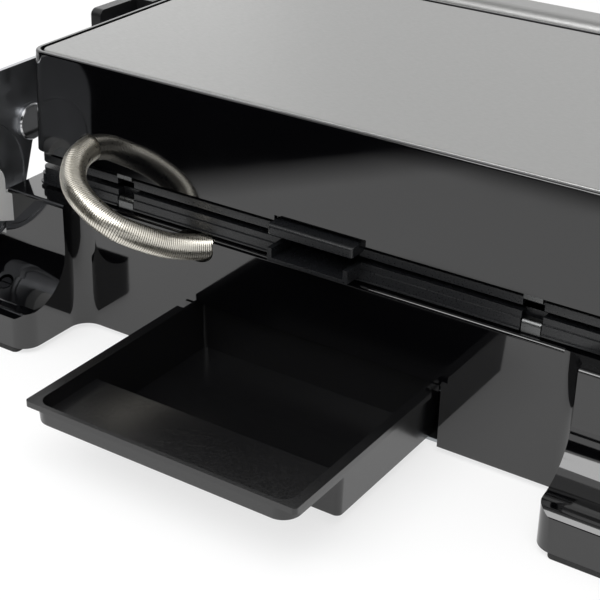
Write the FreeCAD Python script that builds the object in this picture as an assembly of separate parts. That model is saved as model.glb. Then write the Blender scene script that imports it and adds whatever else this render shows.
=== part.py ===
"""Electric contact grill with a hinged lid and a drip tray that slides out at the rear.

Millimetres, +Z up, the operator stands at -Y. While the pieces are built, y = 0 is the outer face of
the lower housing's rear wall and z = 0 is the table. Every piece is then moved by ORIGIN_SHIFT, so that
the row's origin is on the table, at the centre of the whole grill with its tray pulled out.
"""
import FreeCAD, Part
import math
import os
from FreeCAD import Placement, Rotation, Vector

os.makedirs("parts", exist_ok=True)

# ------------------------------------------------------------------ clearances and fits
RUN_FIT = 0.05          # radial running clearance of a shaft or pin that turns
SEAT_FIT = 0.02         # radial clearance of a pin or bush that is pressed in
SLIDE_GAP = 0.3         # between a sliding piece and its guide
OVERCUT = 1.0           # how far a cutting solid runs past the face that it cuts

# ------------------------------------------------------------------ driving sizes: lower housing
FEET_H = 3.0
HOUSING_H = 73.0
HOUSING_HALF = 186.0    # half of the width over the side walls
HOUSING_D = 214.0       # rear wall to the top edge of the front fascia
HOUSING_WALL = 2.5
HOUSING_CORNER = 14.0
HOUSING_EDGE = 2.0      # rounding along the top edge of the rear wall
FASCIA_LEAN = 13.0      # the foot of the fascia stands this far in front of its top
FASCIA_H = 54.0
FASCIA_CORNER = 6.0
FASCIA_FOOT_LEAN = 2.0  # below the fascia the front leans back by this much
WELL_HALF = 160.0       # opening in the deck under the lower plate
WELL_MARGIN = 12.0
WELL_FRONT_MARGIN = 24.0
WELL_CORNER = 12.0

TOWER_INNER = 147.0     # x of the tower's face towards the middle
TOWER_OUT = 12.0        # tower's rear face behind the rear wall
TOWER_FILLET = 11.0
TOWER_SCREW_X = 32.5    # from the tower's inner face
TOWER_SCREW_ANGLE = 240.0  # round the hollow sweep
TOWER_SCREW_SUNK = 4.0  # its head seats this far inside the hollow
TOWER_RECESS_L = 24.0
TOWER_SWEEP = 28.0      # hollow curve from the tower to its foot
TOWER_SWEEP_EASE = 0.5  # its radius is this much less than its room
FOOT_OUT = 46.0         # rear face of the foot behind the rear wall
FOOT_BLOCK_H = 17.5
FOOT_CORNER = 10.0
FOOT_EDGE = 2.5
FOOT_BROW = 3.5         # the hollow curve ends this far above the foot and behind its own room
FOOT_BROW_R = 3.0
SHOE_OUT = 19.0         # the foot's outer part stands this far outside the side wall
SHOE_FRONT = 14.0
SHOE_CORNER = 6.0
ARM_SWING_GAP = 1.5     # round the arm's knuckle, where the shoe is hollowed for it
STEP_OUT = 3.3          # ledge on the tower's side that the hinge bracket stands on
STEP_H = 55.0

# ------------------------------------------------------------------ driving sizes: plates
DECK_GAP = 1.2
PLATE_HALF = 176.5
PLATE_REAR = 3.2        # plates' rear edge in front of the rear wall
PLATE_D = 202.0
PLATE_CORNER = 5.0
LOWER_PLATE_H = 9.1
LOWER_BODY_H = 5.6      # below the rim, which is set in by a step all round
LOWER_FOOT_H = 0.9      # thin flange round the lower plate's foot
LOWER_FOOT_OUT = 0.8
RIM_STEP = 0.8
UPPER_PLATE_H = 7.9
UPPER_BAND_H = 4.5      # the part of the upper plate that shows below the lid
UPPER_NECK_STEP = 3.5
PLATE_GAP = 3.0
PLATE_RIM = 7.0
PLATE_STUD_R = 4.0
PLATE_STUD_OUT = 3.0    # outside the deck's well
PLATE_STUD_Y = 40.0     # from the rear wall and from the top of the fascia
RIB_PITCH = 12.0
RIB_W = 5.0
RIB_TIP_W = 2.4
RIB_H = 3.6
RIB_BELOW_RIM = 1.4
GREASE_CHANNEL = 15.0   # flat strip along the rear rim, where the ribs stop
PLATE_BACK_H = 3.6      # raised back of the upper plate inside the lid
PLATE_BACK_INSET = 11.0
SPOUT_X = -4.0
SPOUT_HALF = 22.9
SPOUT_WALL = 2.6
SPOUT_FLOOR = 1.8
SPOUT_OUT = 11.6        # trough behind the plate's rear edge
HOOD_HALF = 24.2
HOOD_OUT = 10.0         # upper plate's hood behind the same edge
HOOD_RISE = 0.7
HOOD_DROP = 3.3
HOOD_ROUND = 1.8
HOOD_NOTCH = 2.0        # the lid's wall is notched this far above the hood
CLIP_X = 116.5
CLIP_SLOT = 10.5
CLIP_SLOT_D = 6.0
CLIP_W = 9.6
CLIP_SHEET = 1.2
CLIP_FOOT = 5.0
CLIP_HOOK = 4.4
CLIP_H = 7.0            # lower clip's top above the deck
CLIP_BEND = 2.6
UPPER_CLIP_FOOT = 6.0
UPPER_CLIP_H = 9.0      # upper clip's end inside the lid
UPPER_CLIP_DROP = 4.2   # its hook below the lid's edge

# ------------------------------------------------------------------ driving sizes: lid
LID_HALF = 178.0
LID_D = 209.0
LID_H = 55.0
LID_DRAFT = 1.4         # how far each wall leans in over the lid's height
LID_WALL = 2.5
LID_CORNER = 9.0
LID_BEAD_W = 2.4
LID_RECESS = 3.0
LID_EDGE = 1.2
TOP_PLATE_GROOVE = 1.4
TOP_PLATE_CORNER = 6.0
TOP_PLATE_SHEET = 0.8
TOP_PLATE_BELOW = 0.2
TOP_PLATE_ROLL = 1.2

# ------------------------------------------------------------------ driving sizes: arms and hinge
HINGE_Y = 27.0
HINGE_Z = 83.0
HINGE_PIN_R = 6.0
HINGE_PIN_SHORT = 0.2   # its end, inside the cover
BUSH_WALL = 1.5
ARM_GAP = 0.7           # between the bracket and the arm
ARM_T = 12.0
ARM_CHAMFER = 0.8
ARM_BOSS_R = 36.0
ARM_TOP_Z = 140.5
ARM_FRONT_TOP_Z = 132.0
ARM_SHOULDER_R = 34.0
ARM_SHOULDER_Y = -24.0
ARM_UNDER_Z = 104.0
ARM_THROAT_R = 9.0
ARM_BROW_R = 60.0
ARM_END_MARGIN = 1.0    # metal in front of the pivot's round
ARM_THROAT_LEAN = 1 / 3  # forward lean of the arm's front edge above the hinge
ARM_RING_R = 33.0
ARM_RING_W = 1.2
ARM_RING_DEPTH = 0.6
ARM_STOP_R = 10.2       # round stop boss on the arm's inner face, near the lid's rear corner
ARM_STOP_H = 3.0
ARM_STOP_Y = -13.0
ARM_STOP_Z = 106.3
PIVOT_Y = -104.0        # lid pivot, at the middle of the lid's depth
PIVOT_Z = 119.0
PIVOT_PIN_R = 4.5
PIVOT_BOSS_R = 13.0
PIVOT_GAP = 0.5
BRACKET_T = 6.5
BRACKET_BOSS_R = 10.5
BRACKET_CHEEK_FRONT = -8.0
BRACKET_CHEEK_TOP = 4.0  # its front corner below the deck
BRACKET_CHEEK_REAR = 2.0  # and its rear corner
BRACKET_HOOK_H = 16.5   # the neck's upper edge above the ledge
BRACKET_HOOK_R = 2.5
BRACKET_NECK = 7.0
BRACKET_NECK_OUT = 6.0
HINGE_COVER_R = 20.0
HINGE_COVER_T = 2.6

# ------------------------------------------------------------------ driving sizes: handle
RAIL_T = 8.0
RAIL_REAR_Y = -88.0
RAIL_TOP_Z = 147.0
RAIL_DEPTH = 35.0
RAIL_BLOCK_GAP = 3.0
RAIL_REAR_R = 4.0
RAIL_LOW_R = 9.0
RAIL_BEND_R = 40.0
RAIL_BEND_BACK = 60.0   # the bend below the rail, behind its front end
RAIL_BEND_DROP = 6.0
RAIL_RISE = 1.0         # the rail's front end above the bar
RAIL_FRONT_R = 10.0
RAIL_CHAMFER = 1.2
RAIL_SCREWS = ((9.0, 7.0), (-7.0, -6.0))  # from the pivot
RAIL_SCREW_SUNK = 0.6
GRIP_GAP = 36.0         # finger room between the lid and the handle bar
BAR_D = 26.0
BAR_H = 27.5
BAR_TOP_Z = 144.5
BAR_ROUND = 7.0
TRIM_HALF = 172.0
TRIM_SHEET = 1.2
TRIM_SKIRT = 17.0

# ------------------------------------------------------------------ driving sizes: drip tray
TRAY_HALF = 75.0
TRAY_RIM_Z = 37.1
TRAY_OUT = 122.5        # front edge behind the rear wall when the tray is pulled out
TRAY_IN = 10.3          # part of the tray that stays inside
TRAY_LIP = 3.0
TRAY_LIP_OUT = 3.0
TRAY_WALL = 2.3
TRAY_FLOOR = 2.0
TRAY_BOTTOM_Z = 6.5
TRAY_SHALLOW_Z = 27.6
TRAY_DEEP_Y = 82.0      # front wall of the deep well
TRAY_DRAFT = 1.7
TRAY_CORNER = 9.0
TRAY_WELL_CORNER = 3.0
TRAY_LIP_FRONT_R = 1.5
TRAY_LIP_REAR_R = 2.0
TRAY_TRAVEL = 80.0
TRAY_CUT_OVER = 0.5     # height of the wall's cut-out above the rim
TRAY_CUT_SIDE = 0.6
TRAY_CUT_CORNER = 1.2
TRAY_NOTCH_Y = 1.0      # stop notch in each side lip, just outside the wall when the tray is out
TRAY_NOTCH_L = 7.0
TRAY_NOTCH_D = 4.0
BAY_SHEET = 1.5
BAY_GAP = 2.0           # above the tray's rim, and in front of the tray when it is pushed in

# ------------------------------------------------------------------ driving sizes: inside
REFLECTOR_SHEET = 1.0
REFLECTOR_FLANGE = 6.0
REFLECTOR_REAR_FLANGE = 3.0
REFLECTOR_DEPTH = 25.0
ELEMENT_R = 4.0
ELEMENT_HALF = 130.0
ELEMENT_PITCH = 38.0
ELEMENT_RUNS = 4
ELEMENT_BACK = 4.0      # its middle, behind the middle of the housing
ELEMENT_ABOVE_PAN = 8.0
LID_REFLECTOR_H = 20.0
LID_PAN_INSET = 4.0
LID_PAN_ABOVE = 3.0     # the pan's edge above the plate's back
LID_BOSS_R = 5.0
LID_BOSS_X = 120.0
LID_BOSS_Y = 50.0       # from the lid's rear and front
POST_W = 6.0            # posts that carry the elements
POST_D = 10.0
POST_X = 90.0
TERMINAL_X = -134.0
TERMINAL_Y = -51.0
TERMINAL_W = 32.0
TERMINAL_D = 18.0
TERMINAL_H = 16.0
TERMINAL_PITCH = 5.0
TERMINAL_HOLE_R = 1.6
TERMINAL_HOLE_L = 10.0

# ------------------------------------------------------------------ driving sizes: controls
PANEL_HALF = 152.0
PANEL_H = 44.0
PANEL_T = 1.6
PANEL_CORNER = 5.0
KNOB_X = 108.0
KNOB_R = 19.0
KNOB_H = 15.0
KNOB_GRIP_R = 14.5
KNOB_FLARE = 1.5        # the drum is this much wider at its foot
GRIP_HALF = 3.2         # half of the raised grip bar's width
GRIP_RISE = 3.0
POINTER_HALF = 0.8
POINTER_L = 7.0
POINTER_DEPTH = 0.6
KNOB_SKIRT_H = 3.2
KNOB_GAP = 0.6
KNOB_RECESS = 2.0
SHAFT_R = 3.0
SHAFT_IN_KNOB = 11.0
SHAFT_IN_CASE = 11.0
NECK_R = 5.0
THERMOSTAT_W = 28.0
THERMOSTAT_H = 22.0
THERMOSTAT_D = 15.0
LAMP_X = 66.0
LAMP_R = 3.5
LAMP_INSIDE = 6.0
LAMP_PROUD = 0.8
BUTTON_BELOW_DECK = 11.0  # lower button's middle, down the fascia
BUTTON_ABOVE_EDGE = 12.0  # upper button's middle above the lid's edge
BUTTON_W = 34.0
BUTTON_H = 11.0
BUTTON_PROUD = 3.5
BUTTON_REST = 0.1       # the flange stops this far behind the wall
BUTTON_STEM_R = 2.6
BUTTON_STEM_END = 1.0   # how far the stem's end passes the seat
BUTTON_FLANGE = 1.8
BUTTON_EDGE = 1.0
BUTTON_LEAN_ROOM = 0.6  # the lid's wall leans in by this much behind its upright button
BUTTON_KEEPER = 1.6     # how far the flange reaches past the button's sides
SPRING_R = 4.4
SPRING_WIRE = 0.9
SPRING_L = 9.0
SEAT_T = 2.0
SEAT_D = 8.0
SEAT_SIDE = 1.0         # room beside the button's flange

# ------------------------------------------------------------------ driving sizes: conduit, gland, fixings
CONDUIT_R = 6.8
CONDUIT_NOTCH = 0.9
CONDUIT_SUNK = 8.0      # length of each end inside its wall
CONDUIT_RUN_OUT = 8.0   # straight length outside each wall
BASE_EXIT_X = 68.3
BASE_EXIT_TURN = 43.0   # the conduit leaves the lower housing at this angle towards the hinge
BASE_EXIT_BELOW = 0.2   # its top is this far below the deck
LID_EXIT_X = 137.0
LID_EXIT_RISE = 3.0     # its underside above the lid's edge
SADDLE_WALL = 1.8
SADDLE_OPEN = 4.0       # the saddle's open side ends this far inside the conduit's own edge
GLAND_Y = -150.0
GLAND_Z = 32.0
GLAND_BORE_R = 3.7
GLAND_R = 7.0
GLAND_FLANGE_R = 9.5
GLAND_FLANGE_T = 2.0
GLAND_L = 15.0
GLAND_STEP = 1.0        # the sleeve in the wall is this much smaller than the nose
GLAND_TAPER = 1.6
GLAND_INSIDE = 4.0      # sleeve behind the wall
PAD_R = 11.0
PAD_INSIDE = 8.0        # rear pad, outside the tower's inner face
PAD_EDGE = 1.0          # and inside the shoe's outer face
PAD_FRONT = 4.0
PAD_CORNER = 3.0
FRONT_PAD_IN = 26.0     # round pad, from the side wall and from the foot of the fascia
FRONT_PAD_BACK = 34.0
SCREW_HEAD_R = 3.6
SCREW_HEAD_H = 2.4
SCREW_SHANK_R = 1.8
SCREW_SHANK_L = 10.0
SCREW_SLOT_HALF = 0.4
SCREW_RECESS_R = 5.0
COVER_SHEET = 2.0
COVER_SETBACK = 4.0     # the cover's front edge, behind the fascia's inside
VENT_X = 128.0
VENT_FRONT = 70.0       # first slot behind the foot of the fascia
VENT_L = 44.0
VENT_W = 4.0
VENT_PITCH = 10.0
VENT_COUNT = 8

# ------------------------------------------------------------------ levels and places that follow
BASE_Z = FEET_H
DECK_Z = BASE_Z + HOUSING_H
LOWER_PLATE_Z = DECK_Z + DECK_GAP
LOWER_PLATE_TOP = LOWER_PLATE_Z + LOWER_PLATE_H
UPPER_PLATE_Z = LOWER_PLATE_TOP + PLATE_GAP
LID_Z = UPPER_PLATE_Z + UPPER_PLATE_H
LID_TOP = LID_Z + LID_H
LID_DECK_Z = LID_TOP - LID_RECESS
FASCIA_Y = -(HOUSING_D + FASCIA_LEAN)
FASCIA_Z = DECK_Z - FASCIA_H
FASCIA_TILT = math.degrees(math.atan2(FASCIA_LEAN, FASCIA_H))
STEP_X = HOUSING_HALF + STEP_OUT
SHOE_X = HOUSING_HALF + SHOE_OUT
ARM_INNER = STEP_X + ARM_GAP
ARM_OUTER = ARM_INNER + ARM_T
ARM_END_Y = PIVOT_Y - PIVOT_BOSS_R - ARM_END_MARGIN
RAIL_OUTER = ARM_OUTER + RAIL_T
BAR_REAR_Y = -(LID_D + GRIP_GAP)
BAR_FRONT_Y = BAR_REAR_Y - BAR_D
RAIL_SCREW_SEAT = Vector(RAIL_T - SCREW_HEAD_H - RAIL_SCREW_SUNK, 0, 0)
ORIGIN_SHIFT = Vector(0, -(TRAY_OUT + BAR_FRONT_Y) / 2, 0)


# ------------------------------------------------------------------ helpers
def on_plan(z):
    """Corners (x, y) laid at height z."""
    return lambda a, b: Vector(a, b, z)


def on_side(x):
    """Corners (y, z) stood up at x."""
    return lambda a, b: Vector(x, a, b)


def on_front(y):
    """Corners (x, z) stood up at y."""
    return lambda a, b: Vector(a, y, b)


def rounded_face(corners, lay):
    """Flat face through corners (a, b, radius); each corner with a radius becomes an arc."""
    arcs = []
    for i, (a, b, radius) in enumerate(corners):
        corner = Vector(a, b, 0)
        before = Vector(*corners[i - 1][:2], 0) - corner
        after = Vector(*corners[(i + 1) % len(corners)][:2], 0) - corner
        before.normalize()
        after.normalize()
        half_angle = before.getAngle(after) / 2
        middle = before + after
        if radius and middle.Length:
            middle.normalize()
            run = radius / math.tan(half_angle)
            reach = radius / math.sin(half_angle) - radius
            arcs.append((corner + before * run, corner + middle * reach, corner + after * run))
        else:
            arcs.append((corner, None, corner))
    edges = []
    for i, (start, middle, end) in enumerate(arcs):
        if middle:
            points = [lay(point.x, point.y) for point in (start, middle, end)]
            edges.append(Part.Arc(*points).toShape())
        following = arcs[(i + 1) % len(arcs)][0]
        if (following - end).Length > 1e-6:
            edges.append(Part.makeLine(lay(end.x, end.y), lay(following.x, following.y)))
    return Part.Face(Part.Wire(edges))


def rectangle(x0, x1, y0, y1, radius=0.0):
    """Corners of a rectangle with equal corner radii."""
    return [(x0, y0, radius), (x1, y0, radius), (x1, y1, radius), (x0, y1, radius)]


def plan_prism(corners, z0, z1):
    """Prism over a plan outline, from z0 up to z1."""
    return rounded_face(corners, on_plan(z0)).extrude(Vector(0, 0, z1 - z0))


def side_prism(corners, x0, x1):
    """Prism with a side outline (y, z), from x0 to x1."""
    return rounded_face(corners, on_side(x0)).extrude(Vector(x1 - x0, 0, 0))


def box(x0, x1, y0, y1, z0, z1):
    return Part.makeBox(x1 - x0, y1 - y0, z1 - z0, Vector(x0, y0, z0))


def rod(radius, x0, x1, y, z):
    """Cylinder along X."""
    return Part.makeCylinder(radius, x1 - x0, Vector(x0, y, z), Vector(1, 0, 0))


def mirrored(shape):
    """The same piece for the other side of the grill."""
    return shape.mirror(Vector(0, 0, 0), Vector(1, 0, 0))


def both_sides(shape):
    return [shape, mirrored(shape)]


def fused(solids):
    result = solids[0].fuse(solids[1:]) if len(solids) > 1 else solids[0]
    return result.removeSplitter()


def save(node, *solids):
    """Write one node's solids to its STEP file, in the row's frame."""
    moved = [solid.translated(ORIGIN_SHIFT) for solid in solids]
    shape = moved[0] if len(moved) == 1 else Part.makeCompound(moved)
    shape.exportStep(f"parts/{node}.step")


def on_face(tilt, y, z):
    """Frame of a front face: local X is X, local Y runs up the face, local Z points out of it."""
    return Placement(Vector(0, y, z), Rotation(Vector(1, 0, 0), 90 - tilt))


def placed(shape, frame, x=0.0):
    """A copy of a shape drawn in a face's own frame, moved to its place."""
    copy = shape.copy()
    copy.Placement = Placement(Vector(x, 0, 0), Rotation()) * frame
    return copy


def screw(place, direction):
    """Pan-head screw whose head seats at a place; its shank runs along the direction."""
    head = Part.makeCylinder(SCREW_HEAD_R, SCREW_HEAD_H, place, direction * -1)
    slot = box(-SCREW_HEAD_R, SCREW_HEAD_R, -SCREW_SLOT_HALF, SCREW_SLOT_HALF, 0, SCREW_HEAD_H / 3)
    slot.Placement = Placement(place - direction * SCREW_HEAD_H, Rotation(Vector(0, 0, 1), direction))
    shank = Part.makeCylinder(SCREW_SHANK_R, SCREW_SHANK_L, place, direction)
    return fused([head.cut(slot), shank])


def screw_hole(place, direction):
    """Blind hole for a screw's shank."""
    return Part.makeCylinder(SCREW_SHANK_R + SEAT_FIT, SCREW_SHANK_L + OVERCUT, place, direction)


FASCIA = on_face(FASCIA_TILT, FASCIA_Y + FASCIA_LEAN / 2, FASCIA_Z + FASCIA_H / 2)
BUTTON_UP = FASCIA_H / 2 - BUTTON_BELOW_DECK
LID_BUTTON_Z = LID_Z + BUTTON_ABOVE_EDGE
LID_FRONT = on_face(0.0, -LID_D, LID_BUTTON_Z)
LID_BUTTON_WALL = LID_WALL + BUTTON_LEAN_ROOM


# ------------------------------------------------------------------ conduit route, used by its holes too
BASE_EXIT = Vector(BASE_EXIT_X, 0, DECK_Z - CONDUIT_R - BASE_EXIT_BELOW)
BASE_OUTWARD = Rotation(Vector(0, 0, 1), -BASE_EXIT_TURN).multVec(Vector(0, 1, 0))
LID_EXIT = Vector(LID_EXIT_X, 0, LID_Z + CONDUIT_R + LID_EXIT_RISE)
LID_OUTWARD = Vector(0, 1, 0)
CONDUIT_ROUTE = [
    BASE_EXIT - BASE_OUTWARD * CONDUIT_SUNK,
    BASE_EXIT + BASE_OUTWARD * CONDUIT_RUN_OUT,
    Vector(87.5, 21.8, 77.6),
    Vector(100.5, 30.8, 85.2),
    Vector(119.5, 29.0, 94.3),
    Vector(131.0, 21.5, 99.8),
    LID_EXIT + LID_OUTWARD * CONDUIT_RUN_OUT,
    LID_EXIT - LID_OUTWARD * CONDUIT_SUNK,
]


def bent_rod(edges, radius):
    """Round rod along lines and arcs that meet smoothly."""
    pieces = []
    for edge in edges:
        start = edge.valueAt(edge.FirstParameter)
        tangent = edge.tangentAt(edge.FirstParameter)
        if edge.Curve.TypeId == "Part::GeomCircle":
            disc = Part.Face(Part.Wire(Part.makeCircle(radius, start, tangent)))
            turn = math.degrees(edge.Length / edge.Curve.Radius)
            pieces.append(disc.revolve(edge.Curve.Center, edge.Curve.Axis, turn))
        else:
            pieces.append(Part.makeCylinder(radius, edge.Length, start, tangent))
    return fused(pieces)


def route_edges(points):
    """Straight runs joined by tangent arcs, each as large as its two runs allow."""
    edges = []
    end = points[0]
    for before, corner, after in zip(points, points[1:], points[2:]):
        back = before - corner
        ahead = after - corner
        run = 0.45 * min(back.Length, ahead.Length)
        back.normalize()
        ahead.normalize()
        half_angle = back.getAngle(ahead) / 2
        radius = run * math.tan(half_angle)
        middle = back + ahead
        middle.normalize()
        start = corner + back * run
        edges.append(Part.makeLine(end, start))
        through = corner + middle * (radius / math.sin(half_angle) - radius)
        end = corner + ahead * run
        edges.append(Part.Arc(start, through, end).toShape())
    edges.append(Part.makeLine(end, points[-1]))
    return edges


def conduit():
    """Armoured conduit between the lower housing and the lid."""
    return bent_rod(route_edges(CONDUIT_ROUTE), CONDUIT_R)


def conduit_hole(at, outward):
    """Round hole for the conduit through the wall at its exit."""
    radius = CONDUIT_R + CONDUIT_NOTCH
    inner = CONDUIT_SUNK + SLIDE_GAP
    return Part.makeCylinder(radius, inner + 2 * radius, at - outward * inner, outward)


def base_conduit_slot():
    """The hole at the lower housing, opened upwards through the edge of the deck."""
    radius = CONDUIT_R + CONDUIT_NOTCH
    inner = CONDUIT_SUNK + SLIDE_GAP
    mouth = box(-radius, radius, -inner, 2 * radius, 0, 2 * radius)
    mouth.Placement = Placement(BASE_EXIT, Rotation(Vector(0, 0, 1), -BASE_EXIT_TURN))
    return conduit_hole(BASE_EXIT, BASE_OUTWARD).fuse(mouth)


def saddle(at, outward, wall, towards):
    """U-shaped steel saddle that seats the conduit's end against the inside of a wall."""
    inner = at - outward * CONDUIT_SUNK
    outside = Part.makeCylinder(CONDUIT_R + SADDLE_WALL, CONDUIT_SUNK, inner, outward)
    bore = Part.makeCylinder(CONDUIT_R + SEAT_FIT, CONDUIT_SUNK, inner, outward)
    reach = 2 * (CONDUIT_R + CONDUIT_SUNK)
    z0, z1 = sorted((at.z + towards * (CONDUIT_R - SADDLE_OPEN), at.z + towards * reach))
    mouth = box(at.x - reach, at.x + reach, -reach, reach, z0, z1)
    beyond = box(at.x - reach, at.x + reach, -wall, reach, at.z - reach, at.z + reach)
    return outside.cut(bore).cut(mouth).cut(beyond)


# ------------------------------------------------------------------ lower housing
def fascia_outline(inset, base_z):
    """Side outline of the housing, or of the space inside it."""
    slant = inset / math.cos(math.radians(FASCIA_TILT))
    rear = -inset
    top = DECK_Z - inset
    outer = inset == 0
    return [
        (rear, base_z, 0),
        (rear, top, HOUSING_EDGE if outer else 0),
        (-HOUSING_D - FASCIA_LEAN * inset / FASCIA_H + slant, top, HOUSING_EDGE if outer else 0),
        (FASCIA_Y + slant, FASCIA_Z, FASCIA_CORNER),
        (FASCIA_Y + slant + FASCIA_FOOT_LEAN, base_z, 0),
    ]


def housing_plan(inset):
    half = HOUSING_HALF - inset
    radius = HOUSING_CORNER - inset
    front = FASCIA_Y + inset
    return [(-half, front, radius), (half, front, radius), (half, -inset, 0), (-half, -inset, 0)]


def tower_profile():
    """Side outline of a tower and its foot: upright, then a hollow sweep out to the foot."""
    foot_top = BASE_Z + FOOT_BLOCK_H
    sweep_y = TOWER_OUT + TOWER_SWEEP
    return [
        (-HOUSING_WALL, BASE_Z, 0),
        (-HOUSING_WALL, DECK_Z, 0),
        (TOWER_OUT, DECK_Z, HOUSING_EDGE),
        (TOWER_OUT, foot_top + FOOT_BROW, TOWER_SWEEP - TOWER_SWEEP_EASE),
        (sweep_y + FOOT_BROW, foot_top + FOOT_BROW - TOWER_SWEEP_EASE, FOOT_BROW_R),
        (FOOT_OUT, foot_top, FOOT_EDGE),
        (FOOT_OUT, BASE_Z, 0),
    ]


def tower():
    """Left tower with its foot and the outer shoe below the arm."""
    seam = TOWER_INNER - TOWER_FILLET - OVERCUT
    core = plan_prism([
        (seam, -HOUSING_WALL, 0),
        (seam, 0, 0),
        (TOWER_INNER, 0, TOWER_FILLET),
        (TOWER_INNER, FOOT_OUT, FOOT_CORNER),
        (HOUSING_HALF, FOOT_OUT, 0),
        (HOUSING_HALF, -HOUSING_WALL, 0),
    ], BASE_Z, DECK_Z)
    ledge = BASE_Z + STEP_H
    shoe = plan_prism([
        (HOUSING_HALF - HOUSING_WALL, FOOT_OUT, 0),
        (SHOE_X, FOOT_OUT, FOOT_CORNER),
        (SHOE_X, -SHOE_FRONT, SHOE_CORNER),
        (HOUSING_HALF - HOUSING_WALL, -SHOE_FRONT, 0),
    ], BASE_Z, ledge)
    swing = rod(ARM_BOSS_R + ARM_SWING_GAP, STEP_X, SHOE_X + OVERCUT, HINGE_Y, HINGE_Z)
    front_cut = box(STEP_X, SHOE_X + OVERCUT, -SHOE_FRONT - OVERCUT, TOWER_OUT, HINGE_Z - ARM_BOSS_R, ledge)
    shoe = shoe.cut(swing).cut(front_cut)
    profile = side_prism(tower_profile(), seam, SHOE_X)
    behind = box(HOUSING_HALF - HOUSING_WALL, SHOE_X, -SHOE_FRONT, -HOUSING_WALL, BASE_Z, DECK_Z)
    return core.fuse(shoe).common(profile.fuse(behind))


def tower_screw_place():
    """Middle of the hollow sweep, where the screw goes in, and the direction it points."""
    angle = math.radians(TOWER_SCREW_ANGLE)
    outward = Vector(0, -math.cos(angle), -math.sin(angle))
    level = BASE_Z + FOOT_BLOCK_H + FOOT_BROW + TOWER_SWEEP
    centre = Vector(TOWER_INNER + TOWER_SCREW_X, TOWER_OUT + TOWER_SWEEP, level)
    return centre - outward * (TOWER_SWEEP - TOWER_SWEEP_EASE + TOWER_SCREW_SUNK), outward * -1


def button_seat(frame, up, wall):
    """Bridge inside a front wall, with a hole that guides the button's stem."""
    depth = wall + BUTTON_REST + BUTTON_FLANGE + SPRING_L
    half = BUTTON_W / 2 + BUTTON_KEEPER + SEAT_SIDE
    low = up - SEAT_D / 2
    high = up + SEAT_D / 2
    legs = box(-half - SEAT_T, half + SEAT_T, low, high, -depth - SEAT_T, -wall / 2)
    room = box(-half, half, low, high, -depth, 0)
    hole = Part.makeCylinder(BUTTON_STEM_R + SLIDE_GAP, SEAT_T, Vector(0, up, -depth - SEAT_T))
    return placed(legs.cut(room).cut(hole), frame)


def button_hole(frame, up, wall):
    half = BUTTON_W / 2 + SLIDE_GAP
    high = BUTTON_H / 2 + SLIDE_GAP
    hole = box(-half, half, up - high, up + high, -wall - OVERCUT, PANEL_T + OVERCUT)
    return placed(hole, frame)


def lower_housing():
    outer = side_prism(fascia_outline(0, BASE_Z), -HOUSING_HALF, HOUSING_HALF)
    outer = outer.common(plan_prism(housing_plan(0), BASE_Z, DECK_Z))
    inner = side_prism(fascia_outline(HOUSING_WALL, BASE_Z - OVERCUT), -HOUSING_HALF, HOUSING_HALF)
    inner = inner.common(plan_prism(housing_plan(HOUSING_WALL), BASE_Z - OVERCUT, DECK_Z))
    well = plan_prism(
        rectangle(-WELL_HALF, WELL_HALF, -HOUSING_D + WELL_FRONT_MARGIN, -WELL_MARGIN, WELL_CORNER),
        DECK_Z - 2 * HOUSING_WALL, DECK_Z + OVERCUT)
    shell = fused([outer.cut(inner).cut(well)] + both_sides(tower()))
    cut_half = TRAY_HALF + TRAY_CUT_SIDE
    cut_top = TRAY_RIM_Z + TRAY_CUT_OVER
    mouth = rounded_face([
        (-cut_half, BASE_Z - OVERCUT, 0), (-cut_half, cut_top, TRAY_CUT_CORNER),
        (cut_half, cut_top, TRAY_CUT_CORNER), (cut_half, BASE_Z - OVERCUT, 0),
    ], on_front(OVERCUT)).extrude(Vector(0, -HOUSING_WALL - 2 * OVERCUT, 0))
    shell = shell.cut(mouth).cut(base_conduit_slot())
    for side in (-1, 1):
        for x, radius in ((KNOB_X, NECK_R + SLIDE_GAP), (LAMP_X, LAMP_R + SEAT_FIT)):
            hole = Part.makeCylinder(radius, 4 * HOUSING_WALL, Vector(0, 0, -3 * HOUSING_WALL))
            shell = shell.cut(placed(hole, FASCIA, side * x))
    shell = shell.cut(button_hole(FASCIA, BUTTON_UP, HOUSING_WALL))
    shell = shell.fuse(button_seat(FASCIA, BUTTON_UP, HOUSING_WALL))
    gland_hole = rod(GLAND_R - GLAND_STEP, -HOUSING_HALF - OVERCUT, -HOUSING_HALF + HOUSING_WALL + OVERCUT,
                     GLAND_Y, GLAND_Z)
    shell = shell.cut(gland_hole)
    place, into = tower_screw_place()
    recess = Part.makeCylinder(SCREW_RECESS_R, TOWER_RECESS_L, place, into * -1)
    for pocket in both_sides(recess.fuse(screw_hole(place, into))):
        shell = shell.cut(pocket)
    return shell.removeSplitter()


def bottom_cover():
    """Plate that closes the housing from below, with two fields of air slots."""
    gap = SLIDE_GAP
    inset = HOUSING_WALL + gap
    plate = plan_prism([
        (-HOUSING_HALF + inset, FASCIA_Y + inset + COVER_SETBACK, HOUSING_CORNER - inset),
        (HOUSING_HALF - inset, FASCIA_Y + inset + COVER_SETBACK, HOUSING_CORNER - inset),
        (HOUSING_HALF - inset, -inset, 0),
        (-HOUSING_HALF + inset, -inset, 0),
    ], BASE_Z, BASE_Z + COVER_SHEET)
    for side in (-1, 1):
        for i in range(VENT_COUNT):
            x = side * VENT_X
            y = FASCIA_Y + VENT_FRONT + i * VENT_PITCH
            plate = plate.cut(box(x - VENT_L / 2, x + VENT_L / 2, y - VENT_W / 2, y + VENT_W / 2,
                                  BASE_Z - OVERCUT, BASE_Z + COVER_SHEET + OVERCUT))
    return plate


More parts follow.
